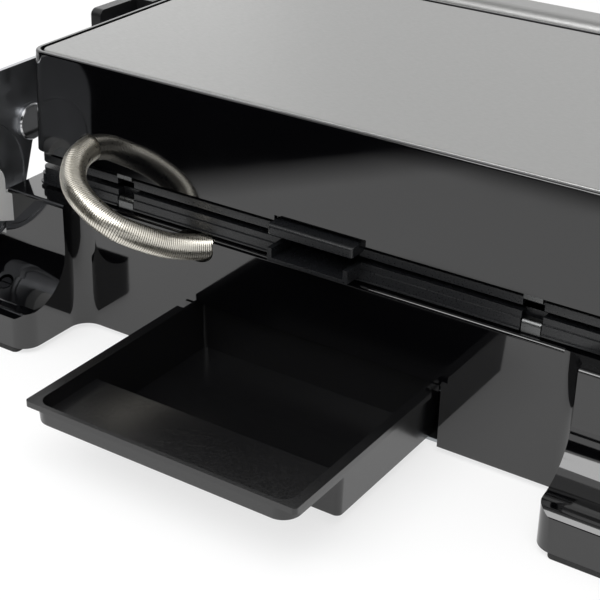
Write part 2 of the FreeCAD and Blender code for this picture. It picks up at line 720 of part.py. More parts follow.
def rubber_feet():
    """Two long pads under the rear feet and two round ones at the front corners."""
    inner = TOWER_INNER + PAD_INSIDE
    outer = SHOE_X - PAD_EDGE
    rear = plan_prism([
        (inner, FOOT_OUT, PAD_CORNER), (outer, FOOT_OUT, FOOT_CORNER - PAD_EDGE),
        (outer, PAD_FRONT, PAD_CORNER), (inner, PAD_FRONT, PAD_CORNER),
    ], 0, FEET_H)
    place = Vector(HOUSING_HALF - FRONT_PAD_IN, FASCIA_Y + FRONT_PAD_BACK, 0)
    front = Part.makeCylinder(PAD_R, FEET_H, place)
    return both_sides(rear) + both_sides(front)


# ------------------------------------------------------------------ drip tray and its bay
def tray_loft(half, y0, y1, z0, z1, draft, radius):
    """Open-box form that narrows downwards on all four sides."""
    top = rounded_face(rectangle(-half, half, y0, y1, radius), on_plan(z1)).OuterWire
    narrow = rectangle(-half + draft, half - draft, y0 + draft, y1 - draft, radius)
    low = rounded_face(narrow, on_plan(z0)).OuterWire
    return Part.makeLoft([low, top], True, True)


def drip_tray():
    """Deep well inside the housing's line, a shallow apron behind it, and a lip all round."""
    half = TRAY_HALF - TRAY_LIP_OUT
    rim = TRAY_RIM_Z
    shallow_draft = TRAY_DRAFT * (rim - TRAY_SHALLOW_Z) / (rim - TRAY_BOTTOM_Z)
    apron = tray_loft(half, -TRAY_IN, TRAY_OUT, TRAY_SHALLOW_Z, rim, shallow_draft, TRAY_CORNER)
    well = tray_loft(half, -TRAY_IN, TRAY_DEEP_Y, TRAY_BOTTOM_Z, rim, TRAY_DRAFT, TRAY_WELL_CORNER)
    lip = plan_prism([
        (-TRAY_HALF, -TRAY_IN, TRAY_LIP_FRONT_R), (TRAY_HALF, -TRAY_IN, TRAY_LIP_FRONT_R),
        (TRAY_HALF, TRAY_OUT, TRAY_LIP_REAR_R), (-TRAY_HALF, TRAY_OUT, TRAY_LIP_REAR_R),
    ], rim - TRAY_LIP, rim)
    inside = half - TRAY_WALL
    apron_room = tray_loft(inside, -TRAY_IN + TRAY_WALL, TRAY_OUT - TRAY_WALL, TRAY_SHALLOW_Z + TRAY_FLOOR,
                           rim + 0.01, shallow_draft, TRAY_CORNER - TRAY_WALL)
    well_room = tray_loft(inside, -TRAY_IN + TRAY_WALL, TRAY_DEEP_Y - TRAY_WALL, TRAY_BOTTOM_Z + TRAY_FLOOR,
                          rim + 0.01, TRAY_DRAFT, TRAY_WELL_CORNER / 1.5)
    body = fused([apron, well, lip]).cut(apron_room.fuse(well_room))
    notch = box(TRAY_HALF - TRAY_NOTCH_D, TRAY_HALF + OVERCUT, TRAY_NOTCH_Y, TRAY_NOTCH_Y + TRAY_NOTCH_L,
                rim - TRAY_LIP - OVERCUT, rim + OVERCUT)
    for side in both_sides(notch):
        body = body.cut(side)
    return body.removeSplitter()


def tray_bay():
    """Sheet box inside the housing that the tray runs in, with a ledge under each lip."""
    side = TRAY_HALF + SLIDE_GAP
    end = -(TRAY_IN + TRAY_TRAVEL + BAY_GAP)
    top = TRAY_RIM_Z + BAY_GAP
    floor = BASE_Z + COVER_SHEET
    outer = box(-side - BAY_SHEET, side + BAY_SHEET, end - BAY_SHEET, -HOUSING_WALL, floor, top + BAY_SHEET)
    room = box(-side, side, end, OVERCUT, floor - OVERCUT, top)
    ledge_top = TRAY_RIM_Z - TRAY_LIP - SLIDE_GAP
    ledge = box(side - TRAY_LIP_OUT + 2 * SLIDE_GAP, side, end, -HOUSING_WALL,
                ledge_top - BAY_SHEET, ledge_top)
    return fused([outer.cut(room)] + both_sides(ledge))


# ------------------------------------------------------------------ grill plates
def plate_outline(inset):
    half = PLATE_HALF - inset
    front = -PLATE_REAR - PLATE_D + inset
    return rectangle(-half, half, front, -PLATE_REAR - inset, PLATE_CORNER)


def rib_cutter(floor, direction, reach):
    """Everything above the ribbed floor of a plate; direction -1 gives the one for the upper plate."""
    inner = PLATE_HALF - PLATE_RIM
    count = int(2 * (inner - RIB_PITCH) // RIB_PITCH)
    first = -(count - 1) * RIB_PITCH / 2
    corners = [(-inner, floor, 0)]
    for i in range(count):
        x = first + i * RIB_PITCH
        crest = floor + direction * RIB_H
        corners += [(x - RIB_W / 2, floor, 0), (x - RIB_TIP_W / 2, crest, 0),
                    (x + RIB_TIP_W / 2, crest, 0), (x + RIB_W / 2, floor, 0)]
    far = floor + direction * reach
    corners += [(inner, floor, 0), (inner, far, 0), (-inner, far, 0)]
    rear = -PLATE_REAR - PLATE_RIM
    front = -PLATE_REAR - PLATE_D + PLATE_RIM
    ribbed = rounded_face(corners, on_front(rear - GREASE_CHANNEL))
    ribbed = ribbed.extrude(Vector(0, front - rear + GREASE_CHANNEL, 0))
    z0, z1 = sorted((floor, floor + direction * reach))
    channel = box(-inner, inner, rear - GREASE_CHANNEL, rear, z0, z1)
    return ribbed.fuse(channel)


def clip_slots(z0, z1):
    slot = box(CLIP_X - CLIP_SLOT / 2, CLIP_X + CLIP_SLOT / 2,
               -PLATE_REAR - CLIP_SLOT_D, -PLATE_REAR + OVERCUT, z0 - OVERCUT, z1 + OVERCUT)
    return both_sides(slot)


def lower_plate():
    """Removable cast plate: a stepped edge, a ribbed bed inside its rim, and the grease spout's trough."""
    foot = plan_prism(plate_outline(-LOWER_FOOT_OUT), LOWER_PLATE_Z, LOWER_PLATE_Z + LOWER_FOOT_H)
    body = plan_prism(plate_outline(0), LOWER_PLATE_Z, LOWER_PLATE_Z + LOWER_BODY_H)
    rim = plan_prism(plate_outline(RIM_STEP), LOWER_PLATE_Z, LOWER_PLATE_TOP)
    rear = -PLATE_REAR
    bed = LOWER_PLATE_TOP - RIB_BELOW_RIM - RIB_H
    trough = box(SPOUT_X - SPOUT_HALF, SPOUT_X + SPOUT_HALF, rear - PLATE_RIM, rear + SPOUT_OUT,
                 bed - SPOUT_FLOOR, LOWER_PLATE_TOP)
    plate = fused([foot, body, rim, trough]).cut(rib_cutter(bed, 1, LOWER_PLATE_H))
    gutter_half = SPOUT_HALF - SPOUT_WALL
    gutter = box(SPOUT_X - gutter_half, SPOUT_X + gutter_half, rear - PLATE_RIM - OVERCUT,
                 rear + SPOUT_OUT + OVERCUT, bed, LOWER_PLATE_TOP + OVERCUT)
    plate = plate.cut(gutter)
    for slot in clip_slots(LOWER_PLATE_Z, LOWER_PLATE_TOP):
        plate = plate.cut(slot)
    stud_z = DECK_Z + REFLECTOR_SHEET
    studs = [Part.makeCylinder(PLATE_STUD_R, LOWER_PLATE_Z - stud_z, Vector(x, y, stud_z))
             for x in (-WELL_HALF - PLATE_STUD_OUT, WELL_HALF + PLATE_STUD_OUT)
             for y in (-HOUSING_D + PLATE_STUD_Y, -PLATE_STUD_Y)]
    return fused([plate] + studs)


def hood():
    """Outside of the hood over the spout, rounded at its rear."""
    rear = -PLATE_REAR
    form = box(SPOUT_X - HOOD_HALF, SPOUT_X + HOOD_HALF, rear - PLATE_RIM, rear + HOOD_OUT,
               UPPER_PLATE_Z + HOOD_DROP, LID_Z + HOOD_RISE)
    edges = [edge for edge in form.Edges if edge.BoundBox.YMin > rear + HOOD_OUT - 0.1
             and edge.BoundBox.ZMax > LID_Z + HOOD_RISE - 0.1]
    return form.makeFillet(HOOD_ROUND, edges)


def upper_plate():
    """Removable cast plate in the lid, with the hood that covers the spout."""
    band = plan_prism(plate_outline(RIM_STEP), UPPER_PLATE_Z, UPPER_PLATE_Z + UPPER_BAND_H)
    neck = plan_prism(plate_outline(UPPER_NECK_STEP), UPPER_PLATE_Z, LID_Z)
    back = plan_prism(plate_outline(PLATE_BACK_INSET), LID_Z, LID_Z + PLATE_BACK_H)
    bed = UPPER_PLATE_Z + RIB_BELOW_RIM + RIB_H
    rear = -PLATE_REAR
    hollow_half = HOOD_HALF - SPOUT_WALL
    hollow = box(SPOUT_X - hollow_half, SPOUT_X + hollow_half, rear - PLATE_RIM - OVERCUT,
                 rear + HOOD_OUT - SPOUT_WALL, UPPER_PLATE_Z - OVERCUT, LID_Z + HOOD_RISE - SPOUT_WALL)
    plate = fused([band, neck, back, hood()]).cut(rib_cutter(bed, -1, LOWER_PLATE_H)).cut(hollow)
    for slot in clip_slots(UPPER_PLATE_Z, LID_Z):
        plate = plate.cut(slot)
    return plate.removeSplitter()


def lower_clips():
    """Sheet hooks screwed to the deck; their rolled tops hold the lower plate's rear edge."""
    sheet = CLIP_SHEET
    rear = -PLATE_REAR
    top = DECK_Z + CLIP_H
    hook = side_prism([
        (rear - CLIP_FOOT, DECK_Z, 0), (rear, DECK_Z, sheet * 0.75), (rear, top, CLIP_BEND),
        (rear - CLIP_HOOK, top, 0), (rear - CLIP_HOOK, top - sheet, 0),
        (rear - sheet, top - sheet, CLIP_BEND - sheet), (rear - sheet, DECK_Z + sheet, 0),
        (rear - CLIP_FOOT, DECK_Z + sheet, 0),
    ], CLIP_X - CLIP_W / 2, CLIP_X + CLIP_W / 2)
    return both_sides(hook)


def upper_clips():
    """Sheet hooks on the inside of the lid's rear wall; they hold the upper plate's rear edge."""
    sheet = CLIP_SHEET
    face = -LID_WALL - SLIDE_GAP
    foot = LID_Z - UPPER_CLIP_DROP
    top = LID_Z + UPPER_CLIP_H
    hook = side_prism([
        (face, foot, sheet * 0.75), (face, top, 0), (face - sheet, top, 0),
        (face - sheet, foot + sheet, 0), (face - UPPER_CLIP_FOOT, foot + sheet, 0),
        (face - UPPER_CLIP_FOOT, foot, 0),
    ], CLIP_X - CLIP_W / 2, CLIP_X + CLIP_W / 2)
    return both_sides(hook)


# ------------------------------------------------------------------ heating
def element(z, shift_y):
    """Tubular heating element: straight runs joined by half-turns, both ends at the same side."""
    edges = []
    for i in range(ELEMENT_RUNS):
        y = shift_y + (i - (ELEMENT_RUNS - 1) / 2) * ELEMENT_PITCH
        side = 1 if i % 2 == 0 else -1
        start = Vector(-side * ELEMENT_HALF, y, z)
        end = Vector(side * ELEMENT_HALF, y, z)
        edges.append(Part.makeLine(start, end))
        if i < ELEMENT_RUNS - 1:
            bend = Vector(side * (ELEMENT_HALF + ELEMENT_PITCH / 2), y + ELEMENT_PITCH / 2, z)
            edges.append(Part.Arc(end, bend, Vector(end.x, y + ELEMENT_PITCH, z)).toShape())
    return bent_rod(edges, ELEMENT_R)


ELEMENT_MID_Y = -HOUSING_D / 2 + ELEMENT_BACK
PAN_REAR = -WELL_MARGIN - SLIDE_GAP
PAN_FRONT = -HOUSING_D + WELL_FRONT_MARGIN + SLIDE_GAP
PAN_FLOOR = DECK_Z - REFLECTOR_DEPTH
LOWER_ELEMENT_Z = PAN_FLOOR + REFLECTOR_SHEET + ELEMENT_ABOVE_PAN
LID_PAN_TOP = LID_Z + PLATE_BACK_H + LID_PAN_ABOVE + LID_REFLECTOR_H
UPPER_ELEMENT_Z = LID_PAN_TOP - REFLECTOR_SHEET - ELEMENT_ABOVE_PAN


def element_posts(pan_face, element_z):
    """Short posts that carry the element clear of the pan."""
    height = abs(element_z - pan_face) - ELEMENT_R
    z = pan_face if element_z > pan_face else pan_face - height
    outer_run = (ELEMENT_RUNS - 1) / 2 * ELEMENT_PITCH
    return [box(x - POST_W / 2, x + POST_W / 2, y - POST_D / 2, y + POST_D / 2, z, z + height)
            for x in (-POST_X, POST_X) for y in (ELEMENT_MID_Y - outer_run, ELEMENT_MID_Y + outer_run)]


def lower_reflector():
    """Pressed steel pan hung in the deck's well by its flange."""
    half = WELL_HALF - SLIDE_GAP
    sheet = REFLECTOR_SHEET
    pan = plan_prism(rectangle(-half, half, PAN_FRONT, PAN_REAR, WELL_CORNER), PAN_FLOOR, DECK_Z)
    edge = REFLECTOR_FLANGE
    flange = plan_prism(rectangle(-half - edge, half + edge, PAN_FRONT - edge,
                                  PAN_REAR + REFLECTOR_REAR_FLANGE, WELL_CORNER),
                        DECK_Z, DECK_Z + sheet)
    room = plan_prism(rectangle(-half + sheet, half - sheet, PAN_FRONT + sheet, PAN_REAR - sheet,
                                WELL_CORNER - sheet), PAN_FLOOR + sheet, DECK_Z + sheet + OVERCUT)
    dish = fused([pan, flange]).cut(room)
    return fused([dish.cut(base_conduit_slot())] + element_posts(PAN_FLOOR + sheet, LOWER_ELEMENT_Z))


def upper_reflector():
    """Pressed steel pan above the upper element, fixed to the lid's four bosses."""
    half = WELL_HALF - LID_PAN_INSET
    sheet = REFLECTOR_SHEET
    low = LID_PAN_TOP - LID_REFLECTOR_H
    front = -LID_D + WELL_FRONT_MARGIN
    rear = -WELL_MARGIN - LID_PAN_INSET
    pan = plan_prism(rectangle(-half, half, front, rear, WELL_CORNER), low, LID_PAN_TOP)
    room = plan_prism(rectangle(-half + sheet, half - sheet, front + sheet, rear - sheet,
                                WELL_CORNER - sheet), low - OVERCUT, LID_PAN_TOP - sheet)
    return fused([pan.cut(room)] + element_posts(LID_PAN_TOP - sheet, UPPER_ELEMENT_Z))


def terminal_block():
    """Ceramic block on the bottom cover, beside the tray bay, with three clamping holes."""
    floor = BASE_Z + COVER_SHEET
    block = box(TERMINAL_X - TERMINAL_W / 2, TERMINAL_X + TERMINAL_W / 2,
                TERMINAL_Y - TERMINAL_D / 2, TERMINAL_Y + TERMINAL_D / 2, floor, floor + TERMINAL_H)
    for step in (-1, 0, 1):
        place = Vector(TERMINAL_X, TERMINAL_Y + step * TERMINAL_PITCH, floor + TERMINAL_H - TERMINAL_HOLE_L)
        block = block.cut(Part.makeCylinder(TERMINAL_HOLE_R, TERMINAL_HOLE_L, place))
    return block


# ------------------------------------------------------------------ lid
def lid_outline(inset, lean):
    """Plan outline of the lid, set in by a wall and by the walls' lean."""
    cut = inset + lean
    return rectangle(-LID_HALF + cut, LID_HALF - cut, -LID_D + cut, -cut, LID_CORNER - inset)


def lid_form(inset, z0, z1):
    """Solid between two levels of the lid, whose walls lean in as they rise."""
    wires = []
    for z in (z0, z1):
        lean = LID_DRAFT * (z - LID_Z) / LID_H
        wires.append(rounded_face(lid_outline(inset, lean), on_plan(z)).OuterWire)
    return Part.makeLoft(wires, True, True)


def upper_housing():
    outer = lid_form(0, LID_Z, LID_TOP)
    top_edges = [edge for edge in outer.Edges if min(v.Z for v in edge.Vertexes) > LID_TOP - 0.1]
    outer = outer.makeFillet(LID_EDGE, top_edges)
    recess = plan_prism(lid_outline(LID_BEAD_W, LID_DRAFT), LID_DECK_Z, LID_TOP + OVERCUT)
    room = lid_form(LID_WALL, LID_Z - OVERCUT, LID_DECK_Z - LID_WALL)
    shell = outer.cut(recess).cut(room)
    boss_top = LID_DECK_Z - LID_WALL
    bosses = [Part.makeCylinder(LID_BOSS_R, boss_top - LID_PAN_TOP, Vector(x, y, LID_PAN_TOP))
              for x in (-LID_BOSS_X, LID_BOSS_X) for y in (-LID_D + LID_BOSS_Y, -LID_BOSS_Y)]
    shell = fused([shell] + bosses)
    for bore in both_sides(pivot_bore()):
        shell = shell.cut(bore)
    notch_half = HOOD_HALF + SLIDE_GAP
    hood_notch = box(SPOUT_X - notch_half, SPOUT_X + notch_half, -LID_WALL - OVERCUT, OVERCUT,
                     LID_Z - OVERCUT, LID_Z + HOOD_RISE + HOOD_NOTCH)
    shell = shell.cut(conduit_hole(LID_EXIT, LID_OUTWARD)).cut(hood_notch)
    shell = shell.cut(button_hole(LID_FRONT, 0, LID_BUTTON_WALL))
    return shell.fuse(button_seat(LID_FRONT, 0, LID_BUTTON_WALL)).removeSplitter()


def pivot_bore():
    """Running bore for a pivot pin through the lid's side wall and its lug."""
    return rod(PIVOT_PIN_R + RUN_FIT, LID_HALF - LID_DRAFT - 2 * LID_WALL, ARM_INNER, PIVOT_Y, PIVOT_Z)


def pivot_lug():
    """Round lug on the lid's side wall, up to the arm; the pivot pin turns in it."""
    lug = rod(PIVOT_BOSS_R, LID_HALF - LID_DRAFT, ARM_INNER - PIVOT_GAP, PIVOT_Y, PIVOT_Z)
    return lug.cut(lid_form(0, LID_Z, LID_TOP)).cut(pivot_bore())


def lid_top_plate():
    """Stainless top sheet with a rolled edge, set inside the lid's bead."""
    inset = LID_BEAD_W + TOP_PLATE_GROOVE + LID_DRAFT
    top = LID_TOP - TOP_PLATE_BELOW
    sheet = TOP_PLATE_SHEET
    corners = rectangle(-LID_HALF + inset, LID_HALF - inset, -LID_D + inset, -inset, TOP_PLATE_CORNER)
    form = plan_prism(corners, LID_DECK_Z, top)
    top_edges = [edge for edge in form.Edges if min(v.Z for v in edge.Vertexes) > top - 0.1]
    form = form.makeFillet(TOP_PLATE_ROLL, top_edges)
    inset += sheet
    corners = rectangle(-LID_HALF + inset, LID_HALF - inset, -LID_D + inset, -inset, TOP_PLATE_CORNER - sheet)
    return form.cut(plan_prism(corners, LID_DECK_Z - OVERCUT, top - TOP_PLATE_ROLL))


# ------------------------------------------------------------------ hinge, arms and handle
def hinge_bracket():
    """Cast bracket on the tower's side: a cheek, and a hooked neck that carries the hinge pin."""
    ledge = BASE_Z + STEP_H
    x1 = STEP_X
    x0 = STEP_X - BRACKET_T
    cheek = side_prism([
        (BRACKET_CHEEK_FRONT, ledge, 0),
        (BRACKET_CHEEK_FRONT, DECK_Z - BRACKET_CHEEK_TOP, BRACKET_CHEEK_TOP),
        (TOWER_OUT, DECK_Z - BRACKET_CHEEK_REAR, 0), (TOWER_OUT, ledge, 0),
    ], HOUSING_HALF, x1)
    boss_front = HINGE_Y - BRACKET_BOSS_R
    neck = side_prism([
        (TOWER_OUT, ledge, 0),
        (TOWER_OUT, ledge + BRACKET_HOOK_H, BRACKET_HOOK_R - 1.0),
        (boss_front, ledge + BRACKET_HOOK_H, BRACKET_HOOK_R),
        (boss_front, HINGE_Z, 0),
        (HINGE_Y + BRACKET_BOSS_R, HINGE_Z, 0),
        (HINGE_Y + BRACKET_NECK_OUT, ledge + BRACKET_NECK, BRACKET_NECK_OUT),
    ], x0, x1)
    boss = rod(BRACKET_BOSS_R, x0, x1, HINGE_Y, HINGE_Z)
    body = fused([cheek, neck, boss])
    return body.cut(rod(HINGE_PIN_R + SEAT_FIT, x0 - OVERCUT, x1 + OVERCUT, HINGE_Y, HINGE_Z))


def hinge_pin():
    return rod(HINGE_PIN_R, STEP_X - BRACKET_T, ARM_OUTER - HINGE_PIN_SHORT, HINGE_Y, HINGE_Z)


def hinge_bush():
    outside = rod(HINGE_PIN_R + BUSH_WALL, ARM_INNER, ARM_OUTER, HINGE_Y, HINGE_Z)
    return outside.cut(rod(HINGE_PIN_R + RUN_FIT, ARM_INNER, ARM_OUTER, HINGE_Y, HINGE_Z))


def hinge_cover():
    """Flat cap on the arm's outside, over the end of the hinge pin."""
    disc = rod(HINGE_COVER_R, ARM_OUTER, ARM_OUTER + HINGE_COVER_T, HINGE_Y, HINGE_Z)
    rim = [edge for edge in disc.Edges if edge.Closed and edge.Vertexes[0].X > ARM_OUTER + 0.1]
    return disc.makeChamfer(HINGE_COVER_T * 0.5, rim)


def arm():
    """Left arm: a round knuckle at the hinge, a high shoulder, and a taper to the lid's pivot."""
    rear = HINGE_Y + ARM_BOSS_R
    low = HINGE_Z - ARM_BOSS_R
    lean = math.atan(ARM_THROAT_LEAN)
    throat_low = HINGE_Y - ARM_BOSS_R / math.cos(lean) + ARM_BOSS_R * math.tan(lean)
    throat_top = throat_low - (ARM_UNDER_Z - low) * ARM_THROAT_LEAN
    end = ARM_END_Y
    body = side_prism([
        (rear, low, ARM_BOSS_R),
        (throat_low, low, ARM_BOSS_R - 0.01),
        (throat_top, ARM_UNDER_Z, ARM_THROAT_R),
        (end, PIVOT_Z - PIVOT_BOSS_R, PIVOT_BOSS_R - ARM_END_MARGIN),
        (end, ARM_FRONT_TOP_Z, PIVOT_BOSS_R - ARM_END_MARGIN),
        (ARM_SHOULDER_Y, ARM_TOP_Z, ARM_BROW_R),
        (rear, ARM_TOP_Z, ARM_SHOULDER_R),
    ], ARM_INNER, ARM_OUTER)
    rounded = [edge for edge in body.Edges if edge.BoundBox.XLength < 0.01]
    body = body.makeChamfer(ARM_CHAMFER, rounded)
    stop = rod(ARM_STOP_R, ARM_INNER - ARM_STOP_H, ARM_INNER + OVERCUT, ARM_STOP_Y, ARM_STOP_Z)
    stop_rim = [edge for edge in stop.Edges if edge.Closed and edge.BoundBox.XMax < ARM_INNER]
    body = body.fuse(stop.makeChamfer(ARM_CHAMFER, stop_rim))
    ring = rod(ARM_RING_R, ARM_INNER - OVERCUT, ARM_INNER + ARM_RING_DEPTH, HINGE_Y, HINGE_Z)
    ring = ring.cut(rod(ARM_RING_R - ARM_RING_W, ARM_INNER - OVERCUT, ARM_INNER + ARM_RING_DEPTH,
                        HINGE_Y, HINGE_Z))
    body = body.cut(ring)
    body = body.cut(rod(HINGE_PIN_R + BUSH_WALL + SEAT_FIT, ARM_INNER - OVERCUT, ARM_OUTER + OVERCUT,
                        HINGE_Y, HINGE_Z))
    body = body.cut(rod(PIVOT_PIN_R + SEAT_FIT, ARM_INNER - OVERCUT, ARM_OUTER + OVERCUT, PIVOT_Y, PIVOT_Z))
    for place in rail_screw_places():
        body = body.cut(screw_hole(place, Vector(-1, 0, 0)))
    return body


def pivot_pin():
    return rod(PIVOT_PIN_R, LID_HALF - LID_WALL, ARM_OUTER, PIVOT_Y, PIVOT_Z)


def rail_screw_places():
    """Two screws that hold the handle's rail to the arm, behind and above the pivot."""
    return [Vector(ARM_OUTER, PIVOT_Y + y, PIVOT_Z + z) for y, z in RAIL_SCREWS]


def handle_rail():
    """Left rail of the handle: a cheek outside the arm that thickens in front of it."""
    outline = [
        (RAIL_REAR_Y, RAIL_TOP_Z, RAIL_REAR_R),
        (RAIL_REAR_Y, RAIL_TOP_Z - RAIL_DEPTH, RAIL_LOW_R),
        (BAR_FRONT_Y + RAIL_BEND_BACK, BAR_TOP_Z - BAR_H - RAIL_BEND_DROP, RAIL_BEND_R),
        (BAR_FRONT_Y, BAR_TOP_Z - BAR_H, RAIL_LOW_R),
        (BAR_FRONT_Y, BAR_TOP_Z + RAIL_RISE, RAIL_FRONT_R),
    ]
    cheek = side_prism(outline, ARM_OUTER, RAIL_OUTER)
    block = side_prism(outline, ARM_INNER, ARM_OUTER)
    block_rear = ARM_END_Y - RAIL_BLOCK_GAP
    block = block.cut(box(ARM_INNER - OVERCUT, ARM_OUTER + OVERCUT, block_rear, RAIL_REAR_Y + OVERCUT,
                          0, 2 * RAIL_TOP_Z))
    rail = fused([cheek, block])
    outer_edges = [edge for edge in rail.Edges
                   if edge.BoundBox.XLength < 0.01 and edge.BoundBox.XMin > RAIL_OUTER - 0.01]
    rail = rail.makeChamfer(RAIL_CHAMFER, outer_edges)
    for place in rail_screw_places():
        seat = place + RAIL_SCREW_SEAT
        rail = rail.cut(Part.makeCylinder(SCREW_HEAD_R + SLIDE_GAP, RAIL_T, seat, Vector(1, 0, 0)))
        rail = rail.cut(screw_hole(seat, Vector(-1, 0, 0)))
    return rail


def rail_screws():
    """Screws through the rail into the arm."""
    return [screw(place + RAIL_SCREW_SEAT, Vector(-1, 0, 0))
            for place in rail_screw_places()]


def bar_outline(cut):
    low = BAR_TOP_Z - BAR_H
    return [
        (BAR_FRONT_Y + cut, low, BAR_ROUND), (BAR_REAR_Y - cut, low, BAR_ROUND),
        (BAR_REAR_Y - cut, BAR_TOP_Z - cut, BAR_ROUND - cut),
        (BAR_FRONT_Y + cut, BAR_TOP_Z - cut, BAR_ROUND - cut),
    ]


def handle_bar():
    """Bar between the rails, waisted where the metal trim wraps it."""
    ends = side_prism(bar_outline(0), -ARM_INNER, ARM_INNER)
    return ends.cut(handle_trim_room())


def handle_trim_room():
    skirt = BAR_TOP_Z - TRIM_SKIRT
    band = box(-TRIM_HALF, TRIM_HALF, BAR_FRONT_Y - OVERCUT, BAR_REAR_Y + OVERCUT, skirt, BAR_TOP_Z + OVERCUT)
    return band.cut(side_prism(bar_outline(TRIM_SHEET), -TRIM_HALF, TRIM_HALF))


def handle_trim():
    """Satin steel sheet folded over the bar."""
    return side_prism(bar_outline(0), -TRIM_HALF, TRIM_HALF).common(handle_trim_room())


# ------------------------------------------------------------------ controls
def control_panel():
    """Thin plate on the fascia, with holes for the knobs' necks, the lamps and the button."""
    corners = rectangle(-PANEL_HALF, PANEL_HALF, -PANEL_H / 2, PANEL_H / 2, PANEL_CORNER)
    plate = plan_prism(corners, 0, PANEL_T)
    for x, radius in ((KNOB_X, NECK_R + SLIDE_GAP), (LAMP_X, LAMP_R + SEAT_FIT)):
        for side in (-1, 1):
            plate = plate.cut(Part.makeCylinder(radius, 4 * PANEL_T, Vector(side * x, 0, -PANEL_T)))
    return placed(plate, FASCIA).cut(button_hole(FASCIA, BUTTON_UP, HOUSING_WALL))


def knob():
    """Round knob with a raised grip bar across it, in the fascia's own frame."""
    low = PANEL_T + KNOB_GAP
    skirt = Part.makeCylinder(KNOB_R, KNOB_SKIRT_H, Vector(0, 0, low))
    shoulder = low + KNOB_SKIRT_H
    top = low + KNOB_H + GRIP_RISE
    drum = Part.makeCone(KNOB_GRIP_R + KNOB_FLARE, KNOB_GRIP_R, KNOB_H - KNOB_SKIRT_H, Vector(0, 0, shoulder))
    grip_end = KNOB_GRIP_R + KNOB_FLARE
    grip = box(-GRIP_HALF, GRIP_HALF, -grip_end, grip_end, shoulder, top)
    pointer = box(-POINTER_HALF, POINTER_HALF, KNOB_GRIP_R - POINTER_L, KNOB_GRIP_R,
                  top - POINTER_DEPTH, top + OVERCUT)
    body = fused([skirt, drum, grip]).cut(pointer)
    bore = Part.makeCylinder(SHAFT_R + SEAT_FIT, SHAFT_IN_KNOB, Vector(0, 0, low))
    recess = Part.makeCylinder(KNOB_GRIP_R - KNOB_SKIRT_H, KNOB_RECESS, Vector(0, 0, low))
    return body.cut(bore).cut(recess)


def knob_shaft():
    """Steel shaft from the thermostat into the knob."""
    low = -HOUSING_WALL - SHAFT_IN_CASE
    top = PANEL_T + KNOB_GAP + SHAFT_IN_KNOB - SLIDE_GAP
    return Part.makeCylinder(SHAFT_R, top - low, Vector(0, 0, low))


def thermostat():
    """Thermostat behind the fascia; its neck passes the wall and is the shaft's bearing."""
    back = -HOUSING_WALL
    case = box(-THERMOSTAT_W / 2, THERMOSTAT_W / 2, -THERMOSTAT_H / 2, THERMOSTAT_H / 2,
               back - THERMOSTAT_D, back)
    neck = Part.makeCylinder(NECK_R, HOUSING_WALL + PANEL_T, Vector(0, 0, back))
    bore_l = SHAFT_IN_CASE + SLIDE_GAP + HOUSING_WALL + PANEL_T + OVERCUT
    bore = Part.makeCylinder(SHAFT_R + RUN_FIT, bore_l, Vector(0, 0, back - SHAFT_IN_CASE - SLIDE_GAP))
    return fused([case, neck]).cut(bore)


def indicator_lens():
    """Lamp lens through the fascia and the panel."""
    low = -HOUSING_WALL - LAMP_INSIDE
    body = Part.makeCylinder(LAMP_R, PANEL_T + LAMP_PROUD - low, Vector(0, 0, low))
    rim = [edge for edge in body.Edges if edge.Closed and edge.Vertexes[0].Z > PANEL_T]
    return body.makeChamfer(LAMP_PROUD * 0.8, rim)


def release_button(up, wall, proud):
    """Push button: cap, a flange behind the wall that keeps it in, and a stem."""
    half = BUTTON_W / 2
    high = BUTTON_H / 2
    back = -wall - BUTTON_REST - BUTTON_FLANGE
    cap = box(-half, half, up - high, up + high, back, proud)
    edges = [edge for edge in cap.Edges if min(v.Z for v in edge.Vertexes) > proud - 0.1]
    cap = cap.makeFillet(BUTTON_EDGE, edges)
    keeper = box(-half - BUTTON_KEEPER, half + BUTTON_KEEPER, up - high, up + high,
                 back, back + BUTTON_FLANGE)
    stem_l = SPRING_L + SEAT_T + BUTTON_STEM_END
    stem = Part.makeCylinder(BUTTON_STEM_R, stem_l, Vector(0, up, back - stem_l))
    return fused([cap, keeper, stem])


def button_spring(up, wall):
    """Sleeve in the room of the coil spring, between the button and the seat."""
    low = Vector(0, up, -wall - BUTTON_REST - BUTTON_FLANGE - SPRING_L)
    sleeve = Part.makeCylinder(SPRING_R, SPRING_L, low)
    return sleeve.cut(Part.makeCylinder(SPRING_R - SPRING_WIRE, SPRING_L, low))


# ------------------------------------------------------------------ gland and screws
def cord_gland():
    """Bush in the side wall that the mains lead would come through."""
    face = -HOUSING_HALF
    sleeve = rod(GLAND_R - GLAND_STEP - SEAT_FIT, face - OVERCUT, face + HOUSING_WALL + GLAND_INSIDE,
                 GLAND_Y, GLAND_Z)
    flange = rod(GLAND_FLANGE_R, face - GLAND_FLANGE_T, face, GLAND_Y, GLAND_Z)
    nose = Part.makeCone(GLAND_R, GLAND_R - GLAND_TAPER, GLAND_L,
                         Vector(face, GLAND_Y, GLAND_Z), Vector(-1, 0, 0))
    bore = rod(GLAND_BORE_R, face - GLAND_L - OVERCUT, face + HOUSING_WALL + GLAND_INSIDE + OVERCUT,
               GLAND_Y, GLAND_Z)
    return fused([sleeve, flange, nose]).cut(bore)


def tower_screw():
    place, into = tower_screw_place()
    return screw(place, into)


